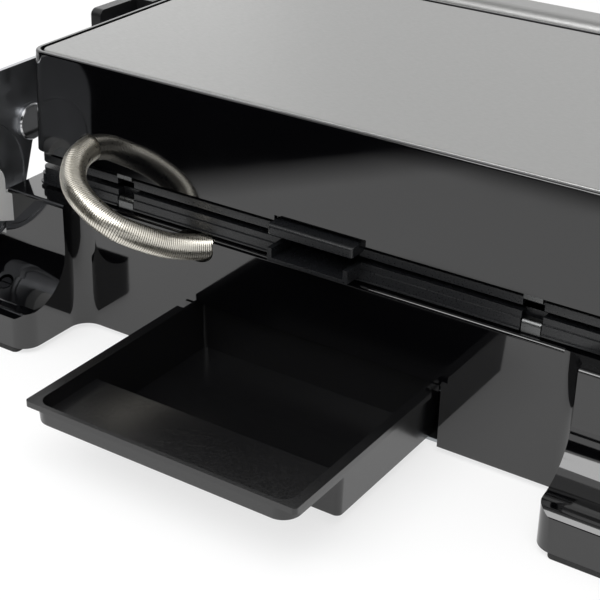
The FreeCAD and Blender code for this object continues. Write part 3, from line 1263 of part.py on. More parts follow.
# ------------------------------------------------------------------ write every node
save("lower_housing", lower_housing())
save("bottom_cover", bottom_cover())
save("rubber_feet", *rubber_feet())
save("drip_tray", drip_tray())
save("tray_bay", tray_bay())
save("lower_plate", lower_plate())
save("upper_plate", upper_plate())
save("lower_plate_clips", *lower_clips())
save("upper_plate_clips", *upper_clips())
save("lower_heating_element", element(LOWER_ELEMENT_Z, ELEMENT_MID_Y))
save("upper_heating_element", element(UPPER_ELEMENT_Z, ELEMENT_MID_Y))
save("lower_reflector", lower_reflector())
save("upper_reflector", upper_reflector())
save("terminal_block", terminal_block())
save("upper_housing", upper_housing())
save("lid_top_plate", lid_top_plate())
save("lid_pivot_lugs", *both_sides(pivot_lug()))
save("hinge_brackets", *both_sides(hinge_bracket()))
save("hinge_pins", *both_sides(hinge_pin()))
save("hinge_bushes", *both_sides(hinge_bush()))
save("hinge_covers", *both_sides(hinge_cover()))
save("left_arm", arm())
save("right_arm", mirrored(arm()))
save("lid_pivot_pins", *both_sides(pivot_pin()))
save("left_handle_rail", handle_rail())
save("right_handle_rail", mirrored(handle_rail()))
save("handle_bar", handle_bar())
save("handle_trim", handle_trim())
save("handle_screws", *[piece for one in rail_screws() for piece in both_sides(one)])
save("control_panel", control_panel())
save("thermostats", *[placed(thermostat(), FASCIA, side * KNOB_X) for side in (-1, 1)])
save("indicator_lenses", *[placed(indicator_lens(), FASCIA, side * LAMP_X) for side in (-1, 1)])
for name, side in (("lower", 1), ("upper", -1)):
    save(f"{name}_knob", placed(knob(), FASCIA, side * KNOB_X))
    save(f"{name}_knob_shaft", placed(knob_shaft(), FASCIA, side * KNOB_X))
save("lower_release_button", placed(release_button(BUTTON_UP, HOUSING_WALL, PANEL_T + BUTTON_PROUD), FASCIA))
save("lower_button_spring", placed(button_spring(BUTTON_UP, HOUSING_WALL), FASCIA))
save("upper_release_button", placed(release_button(0, LID_BUTTON_WALL, BUTTON_PROUD), LID_FRONT))
save("upper_button_spring", placed(button_spring(0, LID_BUTTON_WALL), LID_FRONT))
save("conduit", conduit())
save("base_conduit_saddle", saddle(BASE_EXIT, BASE_OUTWARD, HOUSING_WALL, 1))
saddle_lean = LID_DRAFT * (LID_EXIT.z + CONDUIT_R + SADDLE_WALL - LID_Z) / LID_H
save("lid_conduit_saddle", saddle(LID_EXIT, LID_OUTWARD, LID_WALL + saddle_lean, -1))
save("cord_gland", cord_gland())
save("tower_screws", *both_sides(tower_screw()))
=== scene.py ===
import math

import bpy
from mathutils import Matrix, Vector


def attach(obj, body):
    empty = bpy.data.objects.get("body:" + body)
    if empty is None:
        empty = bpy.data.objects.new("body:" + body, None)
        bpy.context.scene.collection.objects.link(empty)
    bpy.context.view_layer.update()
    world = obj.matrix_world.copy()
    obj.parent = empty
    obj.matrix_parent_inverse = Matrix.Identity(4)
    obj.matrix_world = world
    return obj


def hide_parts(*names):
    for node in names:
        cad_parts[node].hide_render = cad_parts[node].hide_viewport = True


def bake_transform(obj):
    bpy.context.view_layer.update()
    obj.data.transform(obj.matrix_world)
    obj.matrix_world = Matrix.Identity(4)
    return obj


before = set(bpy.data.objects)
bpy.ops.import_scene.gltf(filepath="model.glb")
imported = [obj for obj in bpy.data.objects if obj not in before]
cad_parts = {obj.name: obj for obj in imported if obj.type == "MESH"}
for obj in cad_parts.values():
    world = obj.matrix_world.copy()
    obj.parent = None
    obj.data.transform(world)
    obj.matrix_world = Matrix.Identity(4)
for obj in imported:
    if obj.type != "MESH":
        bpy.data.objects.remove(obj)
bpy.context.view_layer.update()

MM = 0.001

# ---------------------------------------------------------------- lower housing
# A thin shell moulded in black ABS with a high-gloss face. Its two rear towers sweep out to the
# feet and carry the hinge. It stands on its rubber pads and everything else is fixed to it.


def select_only(*pieces):
    """Object mode, with just these pieces selected and the first one active."""
    if bpy.context.object and bpy.context.object.mode != "OBJECT":
        bpy.ops.object.mode_set(mode="OBJECT")
    bpy.ops.object.select_all(action="DESELECT")
    for piece in pieces:
        piece.select_set(True)
    bpy.context.view_layer.objects.active = pieces[0]


SAME_POINT = 0.002 * MM
FLAT_ANGLE = math.radians(0.3)


def merged_copy(node, name):
    """A copy of a CAD node's triangles with its doubles merged and its flat faces made whole."""
    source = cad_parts[node]
    piece = source.copy()
    piece.data = source.data.copy()
    piece.name = name
    bpy.context.collection.objects.link(piece)
    select_only(piece)
    bpy.ops.object.mode_set(mode="EDIT")
    bpy.ops.mesh.select_all(action="SELECT")
    bpy.ops.mesh.remove_doubles(threshold=SAME_POINT)
    bpy.ops.mesh.dissolve_limited(angle_limit=FLAT_ANGLE)
    bpy.ops.object.mode_set(mode="OBJECT")
    return piece


SHARP_ANGLE = math.radians(32.0)


def soften(piece, edge, segments):
    """Breaks the sharp edges with a small bevel, then smooths what isn't an edge."""
    select_only(piece)
    bevel = piece.modifiers.new("broken edges", "BEVEL")
    bevel.width = edge
    bevel.segments = segments
    bevel.limit_method = "ANGLE"
    bevel.angle_limit = SHARP_ANGLE
    bevel.use_clamp_overlap = True
    bpy.ops.object.modifier_apply(modifier=bevel.name)
    bpy.ops.object.shade_smooth_by_angle(angle=SHARP_ANGLE)
    flat = piece.modifiers.new("flat faces stay flat", "WEIGHTED_NORMAL")
    flat.keep_sharp = True
    bpy.ops.object.modifier_apply(modifier=flat.name)


def put_on(piece, material, body, slot, *nodes):
    """Finishes a piece: its material, the body that it rides on, and what it stands for."""
    piece.data.materials.clear()
    piece.data.materials.append(material)
    if body:
        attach(piece, body)
    if nodes:
        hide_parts(*nodes)


def dress(node, name, material, body, slot, edge, segments=2):
    """A copy with its edges broken stands for a CAD node."""
    piece = merged_copy(node, name)
    soften(piece, edge, segments)
    put_on(piece, material, body, slot, node)
    return piece


def linear(colour):
    """sRGB hex to the linear values that a shader takes."""
    shades = [int(colour[i:i + 2], 16) / 255 for i in (1, 3, 5)]
    return [s / 12.92 if s <= 0.04045 else ((s + 0.055) / 1.055) ** 2.4 for s in shades] + [1.0]


def add_node(tree, kind, settings=None, links=None):
    """Adds a shader node. Settings are its properties or inputs, and links feed its inputs."""
    node = tree.nodes.new(kind)
    for key, value in (settings or {}).items():
        if isinstance(key, str) and hasattr(node, key):
            setattr(node, key, value)
        else:
            node.inputs[key].default_value = value
    for key, source in (links or {}).items():
        tree.links.new(source, node.inputs[key])
    return node


def new_material(name, **inputs):
    """A material with one Principled shader, given its settings by input name."""
    material = bpy.data.materials.new(name)
    material.use_nodes = True
    shader = material.node_tree.nodes["Principled BSDF"]
    for key, value in inputs.items():
        shader.inputs[key.replace("_", " ")].default_value = value
    return material, shader


NOISE_LOW, NOISE_HIGH = 0.3, 0.7    # nearly all of the noise lies between these


def grain(material, shader, size, depth, rough=None, stretch=(1, 1, 1), detail=3.0):
    """Surface relief: noise of a size and a depth in mm, which may also vary the roughness."""
    tree = material.node_tree
    place = add_node(tree, "ShaderNodeTexCoord")
    scaled = add_node(tree, "ShaderNodeMapping", {"Scale": stretch},
                      {"Vector": place.outputs["Object"]})
    noise = add_node(tree, "ShaderNodeTexNoise", {"Scale": 1 / (size * MM), "Detail": detail},
                     {"Vector": scaled.outputs[0]})
    bump = add_node(tree, "ShaderNodeBump", {"Strength": 1.0, "Distance": depth * MM},
                    {"Height": noise.outputs["Fac"]})
    tree.links.new(bump.outputs[0], shader.inputs["Normal"])
    if rough:
        spread = add_node(
            tree, "ShaderNodeMapRange",
            {"From Min": NOISE_LOW, "From Max": NOISE_HIGH, "To Min": rough[0], "To Max": rough[1]},
            {"Value": noise.outputs["Fac"]})
        tree.links.new(spread.outputs[0], shader.inputs["Roughness"])


# High-gloss injection moulded ABS. The mould's polish gives sharp reflections that wander a little.
gloss_abs, shader = new_material(
    "gloss black moulded ABS", Base_Color=linear("#040405"), Roughness=0.05, IOR=1.72)
grain(gloss_abs, shader, size=30, depth=0.012, rough=(0.035, 0.075), detail=1.0)

dress("lower_housing", "housing_shell", gloss_abs, "base", "housing", edge=0.5 * MM)

# ---------------------------------------------------------------- feet, bottom cover
# Soft rubber pads let into the feet, and a zinc plated steel cover screwed on from below. A
# counterbored screw in the hollow of each tower holds the hinge bracket's root.

# Moulded nitrile rubber, matt with a faint dusty grain.
pad_rubber, shader = new_material(
    "moulded nitrile rubber", Base_Color=linear("#1a1a1a"), Roughness=0.7)
grain(pad_rubber, shader, size=0.8, depth=0.03, rough=(0.6, 0.8))
# Zinc plated sheet: pale grey with broad soft crystals in its brightness.
zinc_steel, shader = new_material(
    "zinc plated steel sheet", Base_Color=linear("#a9adb0"), Metallic=1.0, Roughness=0.38)
grain(zinc_steel, shader, size=7, depth=0.01, rough=(0.3, 0.46), detail=0.0)
# Stamped stainless strip, dulled by heat and grease: a mid grey with a soft shine.
stainless, shader = new_material(
    "stamped stainless strip", Base_Color=linear("#6b6c6c"), Metallic=1.0, Roughness=0.3)
grain(stainless, shader, size=0.9, depth=0.006, rough=(0.25, 0.36))
# Screws blackened in an oil bath: nearly black, with a faint sheen.
black_oxide, shader = new_material(
    "black oxide steel", Base_Color=linear("#29292b"), Metallic=1.0, Roughness=0.32)
grain(black_oxide, shader, size=0.6, depth=0.004, rough=(0.27, 0.38))

dress("rubber_feet", "rubber_pads", pad_rubber, "base", "rubber", edge=0.4 * MM)
dress("bottom_cover", "bottom_cover_sheet", zinc_steel, "base", "zinc", edge=0.2 * MM, segments=1)
dress("tower_screws", "tower_screws_steel", black_oxide, "base", "bright_steel", edge=0.15 * MM)

# ---------------------------------------------------------------- drip tray and its bay
# A deep moulded tray with a lip all round. It runs on its lip in a sheet steel bay and is pulled
# out from behind.

# Black polypropylene from a fine-textured mould: a soft sheen, brightest where light grazes it.
tray_plastic, shader = new_material(
    "satin black moulded polypropylene", Base_Color=linear("#0c0c0d"), Roughness=0.22, IOR=1.66)
grain(tray_plastic, shader, size=1.2, depth=0.003, rough=(0.18, 0.27))

dress("tray_bay", "tray_bay_sheet", zinc_steel, "base", "zinc", edge=0.2 * MM, segments=1)
dress("drip_tray", "tray_moulding", tray_plastic, "tray", "tray", edge=0.5 * MM, segments=3)

# ---------------------------------------------------------------- lower heating
# A pressed reflector pan hangs in the deck's well. The tubular element stands on its posts above
# it, and a ceramic block on the bottom cover joins the wires.


def finish_node(node, material):
    """A CAD node that keeps its own shape gets its material."""
    for material_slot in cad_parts[node].material_slots:
        material_slot.material = material


# Aluminised steel pressing: bright, a little uneven from the bath.
pan_steel, shader = new_material(
    "aluminised steel pressing", Base_Color=linear("#b9bbbd"), Metallic=1.0, Roughness=0.32)
grain(pan_steel, shader, size=4, depth=0.01, rough=(0.26, 0.4))
# Nickel alloy sheath that has been heated: brown grey, dull.
sheath, shader = new_material(
    "oxidised nickel alloy sheath", Base_Color=linear("#5b5149"), Metallic=1.0, Roughness=0.46)
grain(sheath, shader, size=3, depth=0.01, rough=(0.4, 0.56))
# Unglazed steatite, off-white and matt.
steatite, shader = new_material("pressed steatite", Base_Color=linear("#d9d2c3"), Roughness=0.6)
grain(steatite, shader, size=0.6, depth=0.02)

finish_node("lower_reflector", pan_steel)
finish_node("lower_heating_element", sheath)
finish_node("terminal_block", steatite)

# ---------------------------------------------------------------- front controls
# A satin black panel is glued to the fascia. Two thermostats stand behind it, with a steel shaft
# and a push-on knob each; two lamps and the lower plate's release button share the panel.

# Anodised aluminium panel, brushed across: a dark satin that catches light in a long streak.
panel_metal, shader = new_material(
    "black anodised brushed aluminium", Base_Color=linear("#2a2a2c"), Metallic=1.0, Roughness=0.34)
grain(panel_metal, shader, size=0.5, depth=0.006, rough=(0.28, 0.42), stretch=(0.02, 1, 1))
# Knobs and handles: nylon from a spark-eroded mould, an even satin.
nylon, shader = new_material(
    "satin black glass-filled nylon", Base_Color=linear("#131314"), Roughness=0.36)
grain(nylon, shader, size=0.7, depth=0.012, rough=(0.3, 0.44))
# Clear red polycarbonate over the neon lamps.
red_lens, shader = new_material(
    "clear red polycarbonate", Base_Color=linear("#b3161a"), Roughness=0.08, IOR=1.585)
grain(red_lens, shader, size=2.0, depth=0.01)
# Push buttons: grey ABS with a fine satin texture.
button_abs, shader = new_material(
    "satin grey moulded ABS", Base_Color=linear("#5c5e60"), Roughness=0.4)
grain(button_abs, shader, size=0.7, depth=0.01, rough=(0.34, 0.46))
# Free-cutting steel, turned and bright.
turned_steel, shader = new_material(
    "bright turned steel", Base_Color=linear("#b7b9bb"), Metallic=1.0, Roughness=0.22)
grain(turned_steel, shader, size=1.0, depth=0.004, rough=(0.18, 0.28))
# White pad-printed ink, thin and matt.
white_ink, shader = new_material(
    "white pad-printed ink", Base_Color=linear("#e9e9e6"), Roughness=0.5)
grain(white_ink, shader, size=0.5, depth=0.002)

dress("control_panel", "control_panel_sheet", panel_metal, "base", "panel", edge=0.25 * MM)
dress("indicator_lenses", "indicator_lens_caps", red_lens, "base", "lens", edge=0.15 * MM)
finish_node("thermostats", zinc_steel)
dress("lower_release_button", "lower_button_cap", button_abs, "lower_button", "button",
      edge=0.2 * MM)
finish_node("lower_button_spring", turned_steel)

# Each knob's middle on the fascia's face, which leans back by its tilt.
KNOB_PLACES = {
    "lower": Vector((0.108, -0.14625, 0.049)),
    "upper": Vector((-0.108, -0.14625, 0.049)),
}
FASCIA_TILT = 13.536
FASCIA_TURN = Matrix.Rotation(math.radians(90 - FASCIA_TILT), 4, "X")
SKIRT_TOP = 5.4 * MM
PANEL_FACE = 1.6 * MM
DIGITS = "012345"
DIGIT_HEIGHT = 2.6 * MM
DIGIT_STEP = 54.0
DIGIT_RING = 17.5 * MM
MARK_RING = 20.6 * MM
INK_HALF = 0.03 * MM


def printed(text, name, place, turn, ring, level, size, body):
    """One printed character: thin ink that stands on a ring round a knob's middle."""
    bpy.ops.object.select_all(action="DESELECT")
    bpy.ops.object.text_add()
    ink = bpy.context.object
    ink.name = name
    ink.data.body = text
    ink.data.size = size
    ink.data.extrude = INK_HALF
    ink.data.align_x = "CENTER"
    ink.data.align_y = "CENTER"
    ink.data.resolution_u = 3
    select_only(ink)
    bpy.ops.object.convert(target="MESH")
    ink = bpy.context.object
    around = Matrix.Rotation(math.radians(turn), 4, "Z") @ Matrix.Translation((0, ring, level))
    ink.matrix_world = Matrix.Translation(place) @ FASCIA_TURN @ around
    bpy.ops.object.transform_apply(location=True, rotation=True, scale=True)
    put_on(ink, white_ink, body, None)


for side, place in KNOB_PLACES.items():
    body = side + "_thermostat_knob"
    dress(side + "_knob", side + "_knob_moulding", nylon, body, "handle_black",
          edge=0.5 * MM, segments=3)
    finish_node(side + "_knob_shaft", turned_steel)
    for i, digit in enumerate(DIGITS):
        printed(digit, f"{side}_knob_digit_{i}", place, i * DIGIT_STEP, DIGIT_RING, SKIRT_TOP,
                DIGIT_HEIGHT, body)
    printed("|", side + "_knob_mark", place, 0, MARK_RING, PANEL_FACE, DIGIT_HEIGHT, "base")

# ---------------------------------------------------------------- gland
# A tapered rubber bush pressed into the side wall and open for the mains lead. It is moulded in
# one piece, with a flange that lies on the wall.
dress("cord_gland", "gland_bush", pad_rubber, "base", "rubber", edge=0.3 * MM)

# ---------------------------------------------------------------- grill plates and their clips
# Die-cast aluminium plates under a dark non-stick coating. Bent stainless strips hold their rear
# edges, one pair on the deck and one pair inside the lid.

# Sprayed non-stick coating: nearly black, satin, with a fine sprayed grain.
non_stick, shader = new_material(
    "sprayed non-stick on cast aluminium", Base_Color=linear("#131416"), Roughness=0.3, IOR=1.5)
grain(non_stick, shader, size=0.8, depth=0.012, rough=(0.24, 0.38))

for half, body in (("lower", "base"), ("upper", "lid")):
    dress(half + "_plate", half + "_plate_casting", non_stick, body, "plate", edge=0.35 * MM)
    dress(half + "_plate_clips", half + "_clip_strips", stainless, body, "bright_steel",
          edge=0.2 * MM)

# ---------------------------------------------------------------- hinge brackets, pins and arms
# Die-cast aluminium: the brackets are lacquered, the arms and their caps polished. A bracket's
# hooked neck holds the pin; the arm turns on it with a sintered bush, and a flat cap hides the
# pin's outer end.

# Polished casting: a soft mirror, with the waviness that a polishing wheel leaves on a casting.
polished_casting, shader = new_material(
    "polished cast aluminium", Base_Color=linear("#cfd0d2"), Metallic=1.0, Roughness=0.12)
grain(polished_casting, shader, size=14, depth=0.05, rough=(0.09, 0.16), detail=2.0)
# Silver lacquer over a blasted casting: pale and matt, with a fine frost.
silver_lacquer, shader = new_material(
    "silver lacquered cast aluminium", Base_Color=linear("#dededd"), Metallic=0.35, Roughness=0.5)
grain(silver_lacquer, shader, size=0.8, depth=0.012, rough=(0.45, 0.56))
# The arms' inner faces and undersides stay as they leave the die: duller, with its flow marks.
# Their colour is also darker than the polished faces, as painted shade.
die_skin_and_painted_shade, shader = new_material(
    "as-cast aluminium skin with painted shade", Base_Color=linear("#a2a4a8"), Metallic=1.0, Roughness=0.44)
grain(die_skin_and_painted_shade, shader, size=11, depth=0.08, rough=(0.34, 0.5), detail=2.0)
# Sintered bronze, dull gold brown and finely porous.
bronze, shader = new_material(
    "sintered bronze", Base_Color=linear("#a2773f"), Metallic=1.0, Roughness=0.45)
grain(bronze, shader, size=0.6, depth=0.02)

# What stays unpolished and is darkened as painted shade: the faces square to the inside, but for
# the stop boss, and the undersides.
INNER_FACE_X = 188.5 * MM
SQUARE_ON = 0.99
DOWNWARD = -0.6

dress("hinge_brackets", "hinge_bracket_castings", silver_lacquer, "base", "arm_metal",
      edge=0.5 * MM, segments=3)
finish_node("hinge_pins", turned_steel)
finish_node("hinge_bushes", bronze)
for node, inward in (("left_arm", -1), ("right_arm", 1)):
    arm = dress(node, node + "_casting", polished_casting, "arms", "arm_metal",
                edge=0.5 * MM, segments=3)
    arm.data.materials.append(die_skin_and_painted_shade)
    # Inward and downward faces take the darker as-cast material: a duller finish with painted shade
    # in its colour.
    for face in arm.data.polygons:
        inner = face.normal.x * inward > SQUARE_ON and abs(face.center.x) > INNER_FACE_X
        if inner or face.normal.z < DOWNWARD:
            face.material_index = 1
dress("hinge_covers", "hinge_cover_caps", polished_casting, "arms", "arm_metal",
      edge=0.3 * MM, segments=3)
finish_node("lid_pivot_pins", turned_steel)

# ---------------------------------------------------------------- lid
# The upper shell is moulded like the lower one, with a raised bead round its top. It swings between
# the arms on two lugs. Its own pan, element, button and spring are inside.
dress("upper_housing", "lid_shell", gloss_abs, "lid", "housing", edge=0.4 * MM)
dress("lid_pivot_lugs", "lid_pivot_lug_bosses", gloss_abs, "lid", "housing", edge=0.3 * MM)
finish_node("upper_reflector", pan_steel)
finish_node("upper_heating_element", sheath)
finish_node("upper_button_spring", turned_steel)
dress("upper_release_button", "upper_button_cap", button_abs, "upper_button", "button",
      edge=0.2 * MM)

# Stainless sheet with a fine satin finish. Its grit marks are drawn coarser than they are, to show.
satin_sheet, shader = new_material(
    "satin stainless sheet", Base_Color=linear("#a2a2a1"), Metallic=1.0, Roughness=0.4)
grain(satin_sheet, shader, size=0.9, depth=0.004, rough=(0.36, 0.45), stretch=(0.25, 1, 1))
dress("lid_top_plate", "lid_top_sheet", satin_sheet, "lid", "steel", edge=0.2 * MM)

# ---------------------------------------------------------------- handle
# Two rails and a bar moulded in glass-filled nylon, with a folded satin steel trim along the bar.
# Two screws fix each rail to its arm.
for node in ("left_handle_rail", "right_handle_rail", "handle_bar"):
    dress(node, node + "_moulding", nylon, "arms", "handle_black", edge=0.8 * MM, segments=3)
dress("handle_trim", "handle_trim_sheet", satin_sheet, "arms", "steel", edge=0.3 * MM)
dress("handle_screws", "handle_screws_steel", stainless, "arms", "bright_steel", edge=0.15 * MM)

# ---------------------------------------------------------------- conduit
# Strip-wound steel hose: a thin strip wound so that each turn shows as a fine rounded rib. Steel
# saddles seat its ends in the housing and in the lid. It is built in two halves that meet at its
# middle, where the real hose flexes as the lid lifts; neither half moves here.
HOSE_ROUTE = [
    (62.84, 68.40, 69.0), (73.76, 80.10, 69.0), (87.5, 96.05, 77.6), (100.5, 105.05, 85.2),
    (119.5, 103.25, 94.3), (131.0, 95.75, 99.8), (137.0, 82.25, 107.0), (137.0, 66.25, 107.0)]
ROUTE_STEPS = 24
HOSE_R = 6.8 * MM
RIB_PITCH = 1.1 * MM
RIB_DEPTH = 0.45 * MM
RIB_SIDES = 20
RIB_SMOOTH = math.radians(40)
TURN_JOIN = 0.01 * MM   # one turn's end and the next one's start are joined within this
GROOVE_SIDE = 0.15      # share of the pitch that each side of a groove takes

# Galvanised strip with a warm grey cast; the grooves between its ribs are darkened as painted
# shade.
hose_steel, shader = new_material("strip-wound galvanised steel", Metallic=1.0, Roughness=0.3)
grain(hose_steel, shader, size=1.5, depth=0.001, rough=(0.26, 0.35))
tree = hose_steel.node_tree
# The crest mark mixes a light colour on the ribs with a darker one in the grooves: painted shade
# between the ribs.
crest_share = add_node(tree, "ShaderNodeAttribute", {"attribute_name": "crest"})
painted_groove_shade = add_node(tree, "ShaderNodeMix",
                {"data_type": "RGBA", 6: linear("#7d7666"), 7: linear("#ebe7dc")},
                {0: crest_share.outputs["Fac"]})
tree.links.new(painted_groove_shade.outputs[2], shader.inputs["Base Color"])

route_line = bpy.data.curves.new("hose_route", "CURVE")
route_line.dimensions = "3D"
spline = route_line.splines.new("NURBS")
spline.points.add(len(HOSE_ROUTE) - 1)
for point, place in zip(spline.points, HOSE_ROUTE):
    point.co = (*[length * MM for length in place], 1.0)
spline.order_u = 3
spline.use_endpoint_u = True
spline.resolution_u = ROUTE_STEPS
route = bpy.data.objects.new("hose_route", route_line)
bpy.context.collection.objects.link(route)
bpy.context.view_layer.update()
traced = bpy.data.meshes.new_from_object(route)
stations = [vertex.co.copy() for vertex in traced.vertices]
route_length = sum((b - a).length for a, b in zip(stations, stations[1:]))
ribs = 2 * round(route_length / RIB_PITCH / 2)
pitch = route_length / ribs
walked = 0.0
for a, b in zip(stations, stations[1:]):
    walked += (b - a).length
    if walked >= route_length / 2:
        break


def hose_half(name, first_rib):
    """Half of the hose: one rib is modelled, repeated on a straight line and bent to the route."""
    bpy.ops.object.select_all(action="DESELECT")
    bpy.ops.mesh.primitive_circle_add(
        vertices=RIB_SIDES, radius=HOSE_R - RIB_DEPTH, fill_type="NOTHING",
        location=(first_rib * pitch, 0, 0), rotation=(0, math.pi / 2, 0))
    half = bpy.context.object
    half.name = name
    bpy.ops.object.transform_apply(location=True, rotation=True, scale=True)
    bpy.ops.object.mode_set(mode="EDIT")
    bpy.ops.mesh.select_all(action="SELECT")
    crest = HOSE_R / (HOSE_R - RIB_DEPTH)
    for step, size in ((GROOVE_SIDE, crest), (1 - 2 * GROOVE_SIDE, 1.0), (GROOVE_SIDE, 1 / crest)):
        bpy.ops.mesh.extrude_region_move(TRANSFORM_OT_translate={"value": (step * pitch, 0, 0)})
        bpy.ops.transform.resize(value=(1, size, size), center_override=(0, 0, 0))
    bpy.ops.object.mode_set(mode="OBJECT")
    outer = half.data.attributes.new("crest", "FLOAT", "POINT")
    for vertex, mark in zip(half.data.vertices, outer.data):
        mark.value = float(vertex.co.yz.length > HOSE_R - RIB_DEPTH / 2)
    repeat = half.modifiers.new("turns of strip", "ARRAY")
    repeat.count = ribs // 2
    repeat.use_relative_offset = False
    repeat.use_constant_offset = True
    repeat.constant_offset_displace = (pitch, 0, 0)
    repeat.use_merge_vertices = True
    repeat.merge_threshold = TURN_JOIN
    bend = half.modifiers.new("along the route", "CURVE")
    bend.object = route
    bend.deform_axis = "POS_X"
    select_only(half)
    bpy.ops.object.modifier_apply(modifier=repeat.name)
    bpy.ops.object.modifier_apply(modifier=bend.name)
    bpy.ops.object.mode_set(mode="EDIT")
    bpy.ops.mesh.select_all(action="SELECT")
    bpy.ops.mesh.normals_make_consistent(inside=False)
    bpy.ops.object.mode_set(mode="OBJECT")
    bpy.ops.object.shade_smooth_by_angle(angle=RIB_SMOOTH)
    return half


lower_hose = hose_half("hose_lower_half", 0)
put_on(lower_hose, hose_steel, None, "conduit", "conduit")
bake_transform(lower_hose)
upper_hose = hose_half("hose_upper_half", ribs // 2)
put_on(upper_hose, hose_steel, None, "conduit", "conduit")
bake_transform(upper_hose)
bpy.data.objects.remove(route)
for end in ("base", "lid"):
    finish_node(end + "_conduit_saddle", stainless)

# ---------------------------------------------------------------- stage, lamps, camera
# A white sweep that the camera and gloss see as white, with the object's shadow left on it. Cards
# that only gloss shows stand round it, and three soft lamps light the object.
FLOOR_GLOW = 0.7
FLOOR_SIZE = 16.0
FLOOR_Z = -0.1 * MM     # just under the pads, so that their faces don't meet

white_floor, shader = new_material("white sweep", Base_Color=linear("#fafafa"), Roughness=0.8)
tree = white_floor.node_tree
glow = add_node(tree, "ShaderNodeEmission", {"Color": (1, 1, 1, 1), "Strength": 1.0})


def seen_directly(tree, share):
    """A share for camera, glossy and transmission rays, and nothing for the rest."""
    ray = add_node(tree, "ShaderNodeLightPath")
    seen = add_node(tree, "ShaderNodeMath", {"operation": "MAXIMUM"},
                    {0: ray.outputs["Is Camera Ray"], 1: ray.outputs["Is Glossy Ray"]})
    seen = add_node(tree, "ShaderNodeMath", {"operation": "MAXIMUM"},
                    {0: seen.outputs[0], 1: ray.outputs["Is Transmission Ray"]})
    return add_node(tree, "ShaderNodeMath", {"operation": "MULTIPLY", 1: share},
                    {0: seen.outputs[0]})


shown = add_node(tree, "ShaderNodeMixShader", None,
                 {"Fac": seen_directly(tree, FLOOR_GLOW).outputs[0],
                  1: shader.outputs[0], 2: glow.outputs[0]})
tree.links.new(shown.outputs[0], tree.nodes["Material Output"].inputs["Surface"])
bpy.ops.object.select_all(action="DESELECT")
bpy.ops.mesh.primitive_plane_add(size=FLOOR_SIZE, location=(0, 0, FLOOR_Z))
floor = bpy.context.object
floor.name = "floor"
floor.data.materials.append(white_floor)

# Cards stand out of view, as in a studio, so that gloss has dark edges; only gloss shows them.


def gloss_card(name, brightness, corners):
    """A four-cornered card that only reflections show, from 0 for black velvet to 1 for white."""
    cloth, _ = new_material(
        name + "_cloth", Base_Color=linear("#000000"), Roughness=1.0, Specular_IOR_Level=0.0,
        Emission_Color=linear("#ffffff"), Emission_Strength=brightness)
    bpy.ops.object.select_all(action="DESELECT")
    bpy.ops.mesh.primitive_plane_add(size=1.0)
    card = bpy.context.object
    card.name = name
    for vertex, place in zip(card.data.vertices, corners):
        vertex.co = place
    card.data.materials.append(cloth)
    card.visible_camera = False
    card.visible_diffuse = False
    card.visible_shadow = False
    return cloth


# The table's white cover ends behind the object: it fades out on a slant at one side and along its
# rear edge, past which a little brightness is left. Lengths are in metres, and the slant is how far
# the side edge moves for each metre back.
COVER_FRONT = 0.245
COVER_REACH = 1.6
COVER_Z = 0.003
SIDE_SLANT = 0.63
SIDE_FROM, SIDE_TO = 0.37, 0.44
REAR_FROM, REAR_TO = 0.415, 0.46
REAR_BRIGHTNESS = 0.03

cover = gloss_card(
    "cover_on_table", brightness=1.0,
    corners=((-COVER_REACH, COVER_FRONT, COVER_Z), (COVER_REACH, COVER_FRONT, COVER_Z),
             (-COVER_REACH, COVER_REACH, COVER_Z), (COVER_REACH, COVER_REACH, COVER_Z)))
tree = cover.node_tree
place = add_node(tree, "ShaderNodeTexCoord")
along = add_node(tree, "ShaderNodeSeparateXYZ", None, {0: place.outputs["Object"]})
slant = add_node(tree, "ShaderNodeMath", {"operation": "MULTIPLY_ADD", 1: SIDE_SLANT},
                 {0: along.outputs["Y"], 2: along.outputs["X"]})
side_fade = add_node(tree, "ShaderNodeMapRange",
                     {"From Min": SIDE_FROM, "From Max": SIDE_TO, "To Min": 1.0, "To Max": 0.0},
                     {"Value": slant.outputs[0]})
rear_fade = add_node(
    tree, "ShaderNodeMapRange",
    {"From Min": REAR_FROM, "From Max": REAR_TO, "To Min": 1.0, "To Max": REAR_BRIGHTNESS},
    {"Value": along.outputs["Y"]})
white_share = add_node(tree, "ShaderNodeMath", {"operation": "MULTIPLY"},
                       {0: side_fade.outputs[0], 1: rear_fade.outputs[0]})
tree.links.new(white_share.outputs[0], tree.nodes["Principled BSDF"].inputs["Emission Strength"])

gloss_card("card_upright", brightness=0,
           corners=((0.13, 0.70, 0.0), (0.71, 0.30, 0.0),
                    (0.13, 0.70, 0.65), (0.71, 0.30, 0.65)))
gloss_card("card_by_lens", brightness=0,
           corners=((-0.63, 0.55, 0.15), (-0.02, 0.90, 0.35),
                    (-0.55, 0.48, 0.50), (-0.13, 0.71, 0.64)))
gloss_card("card_far", brightness=0,
           corners=((-0.30, 1.15, 0.20), (0.45, 0.95, 0.20),
                    (-0.30, 1.15, 0.54), (0.45, 0.95, 0.54)))
gloss_card("card_overhead", brightness=0.35,
           corners=((-0.5, -0.6, 1.5), (0.9, -0.6, 1.5),
                    (-0.5, 0.45, 1.5), (0.9, 0.45, 1.5)))

SKY_LIGHT = 0.85    # on the object; the camera and gloss see plain white

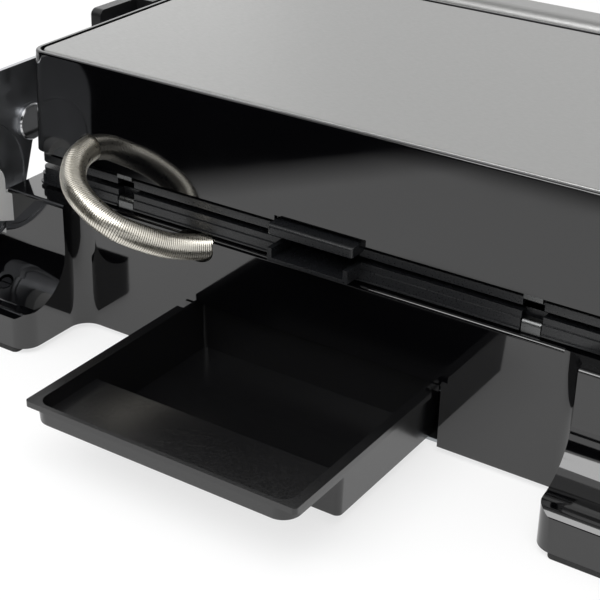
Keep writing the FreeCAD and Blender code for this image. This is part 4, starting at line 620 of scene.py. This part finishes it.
world = bpy.data.worlds.new("studio")
bpy.context.scene.world = world
world.use_nodes = True
tree = world.node_tree
soft = tree.nodes["Background"]
soft.inputs["Color"].default_value = (1, 1, 1, 1)
soft.inputs["Strength"].default_value = SKY_LIGHT
backdrop = add_node(tree, "ShaderNodeBackground", {"Color": (1, 1, 1, 1), "Strength": 1.0})
shown = add_node(tree, "ShaderNodeMixShader", None,
                 {"Fac": seen_directly(tree, 1.0).outputs[0],
                  1: soft.outputs[0], 2: backdrop.outputs[0]})
tree.links.new(shown.outputs[0], tree.nodes["World Output"].inputs["Surface"])


def area_lamp(name, place, target, size, power):
    """A soft lamp that points at a place on the object."""
    bpy.ops.object.light_add(type="AREA", location=place)
    lamp = bpy.context.object
    lamp.name = name
    lamp.data.size = size
    lamp.data.energy = power
    lamp.rotation_euler = (Vector(target) - Vector(place)).to_track_quat("-Z", "Y").to_euler()


area_lamp("overhead softbox", (-0.3, 0.5, 1.3), (0, 0, 0.05), size=0.8, power=6)
area_lamp("rear softbox", (0.33, 1.06, 1.08), (-0.165, 0.094, 0.03), size=0.7, power=7)
area_lamp("front softbox", (0.95, -0.85, 0.45), (0, 0, 0.1), size=0.5, power=0.45)

# The camera has a 90 mm lens and looks down at the rear from beside the tray.
YAW = math.radians(33.0445)
PITCH = math.radians(27.591)
ROLL = math.radians(1.16009)
CAMERA_PLACE = Vector((-0.3531, 0.62425, 0.4012))
LENS = 90.46
SENSOR_WIDTH = 36.0

forward = Vector(
    (math.sin(YAW) * math.cos(PITCH), -math.cos(YAW) * math.cos(PITCH), -math.sin(PITCH)))
level_right = Vector((-math.cos(YAW), -math.sin(YAW), 0))
level_up = level_right.cross(forward)
right = level_right * math.cos(ROLL) + level_up * math.sin(ROLL)
up = level_up * math.cos(ROLL) - level_right * math.sin(ROLL)
turn = Matrix((right, up, -forward)).transposed()
bpy.ops.object.camera_add(location=CAMERA_PLACE, rotation=turn.to_euler())
camera = bpy.context.object
camera.data.lens = LENS
camera.data.sensor_width = SENSOR_WIDTH
bpy.context.scene.camera = camera

bpy.context.scene.view_settings.view_transform = "Standard"
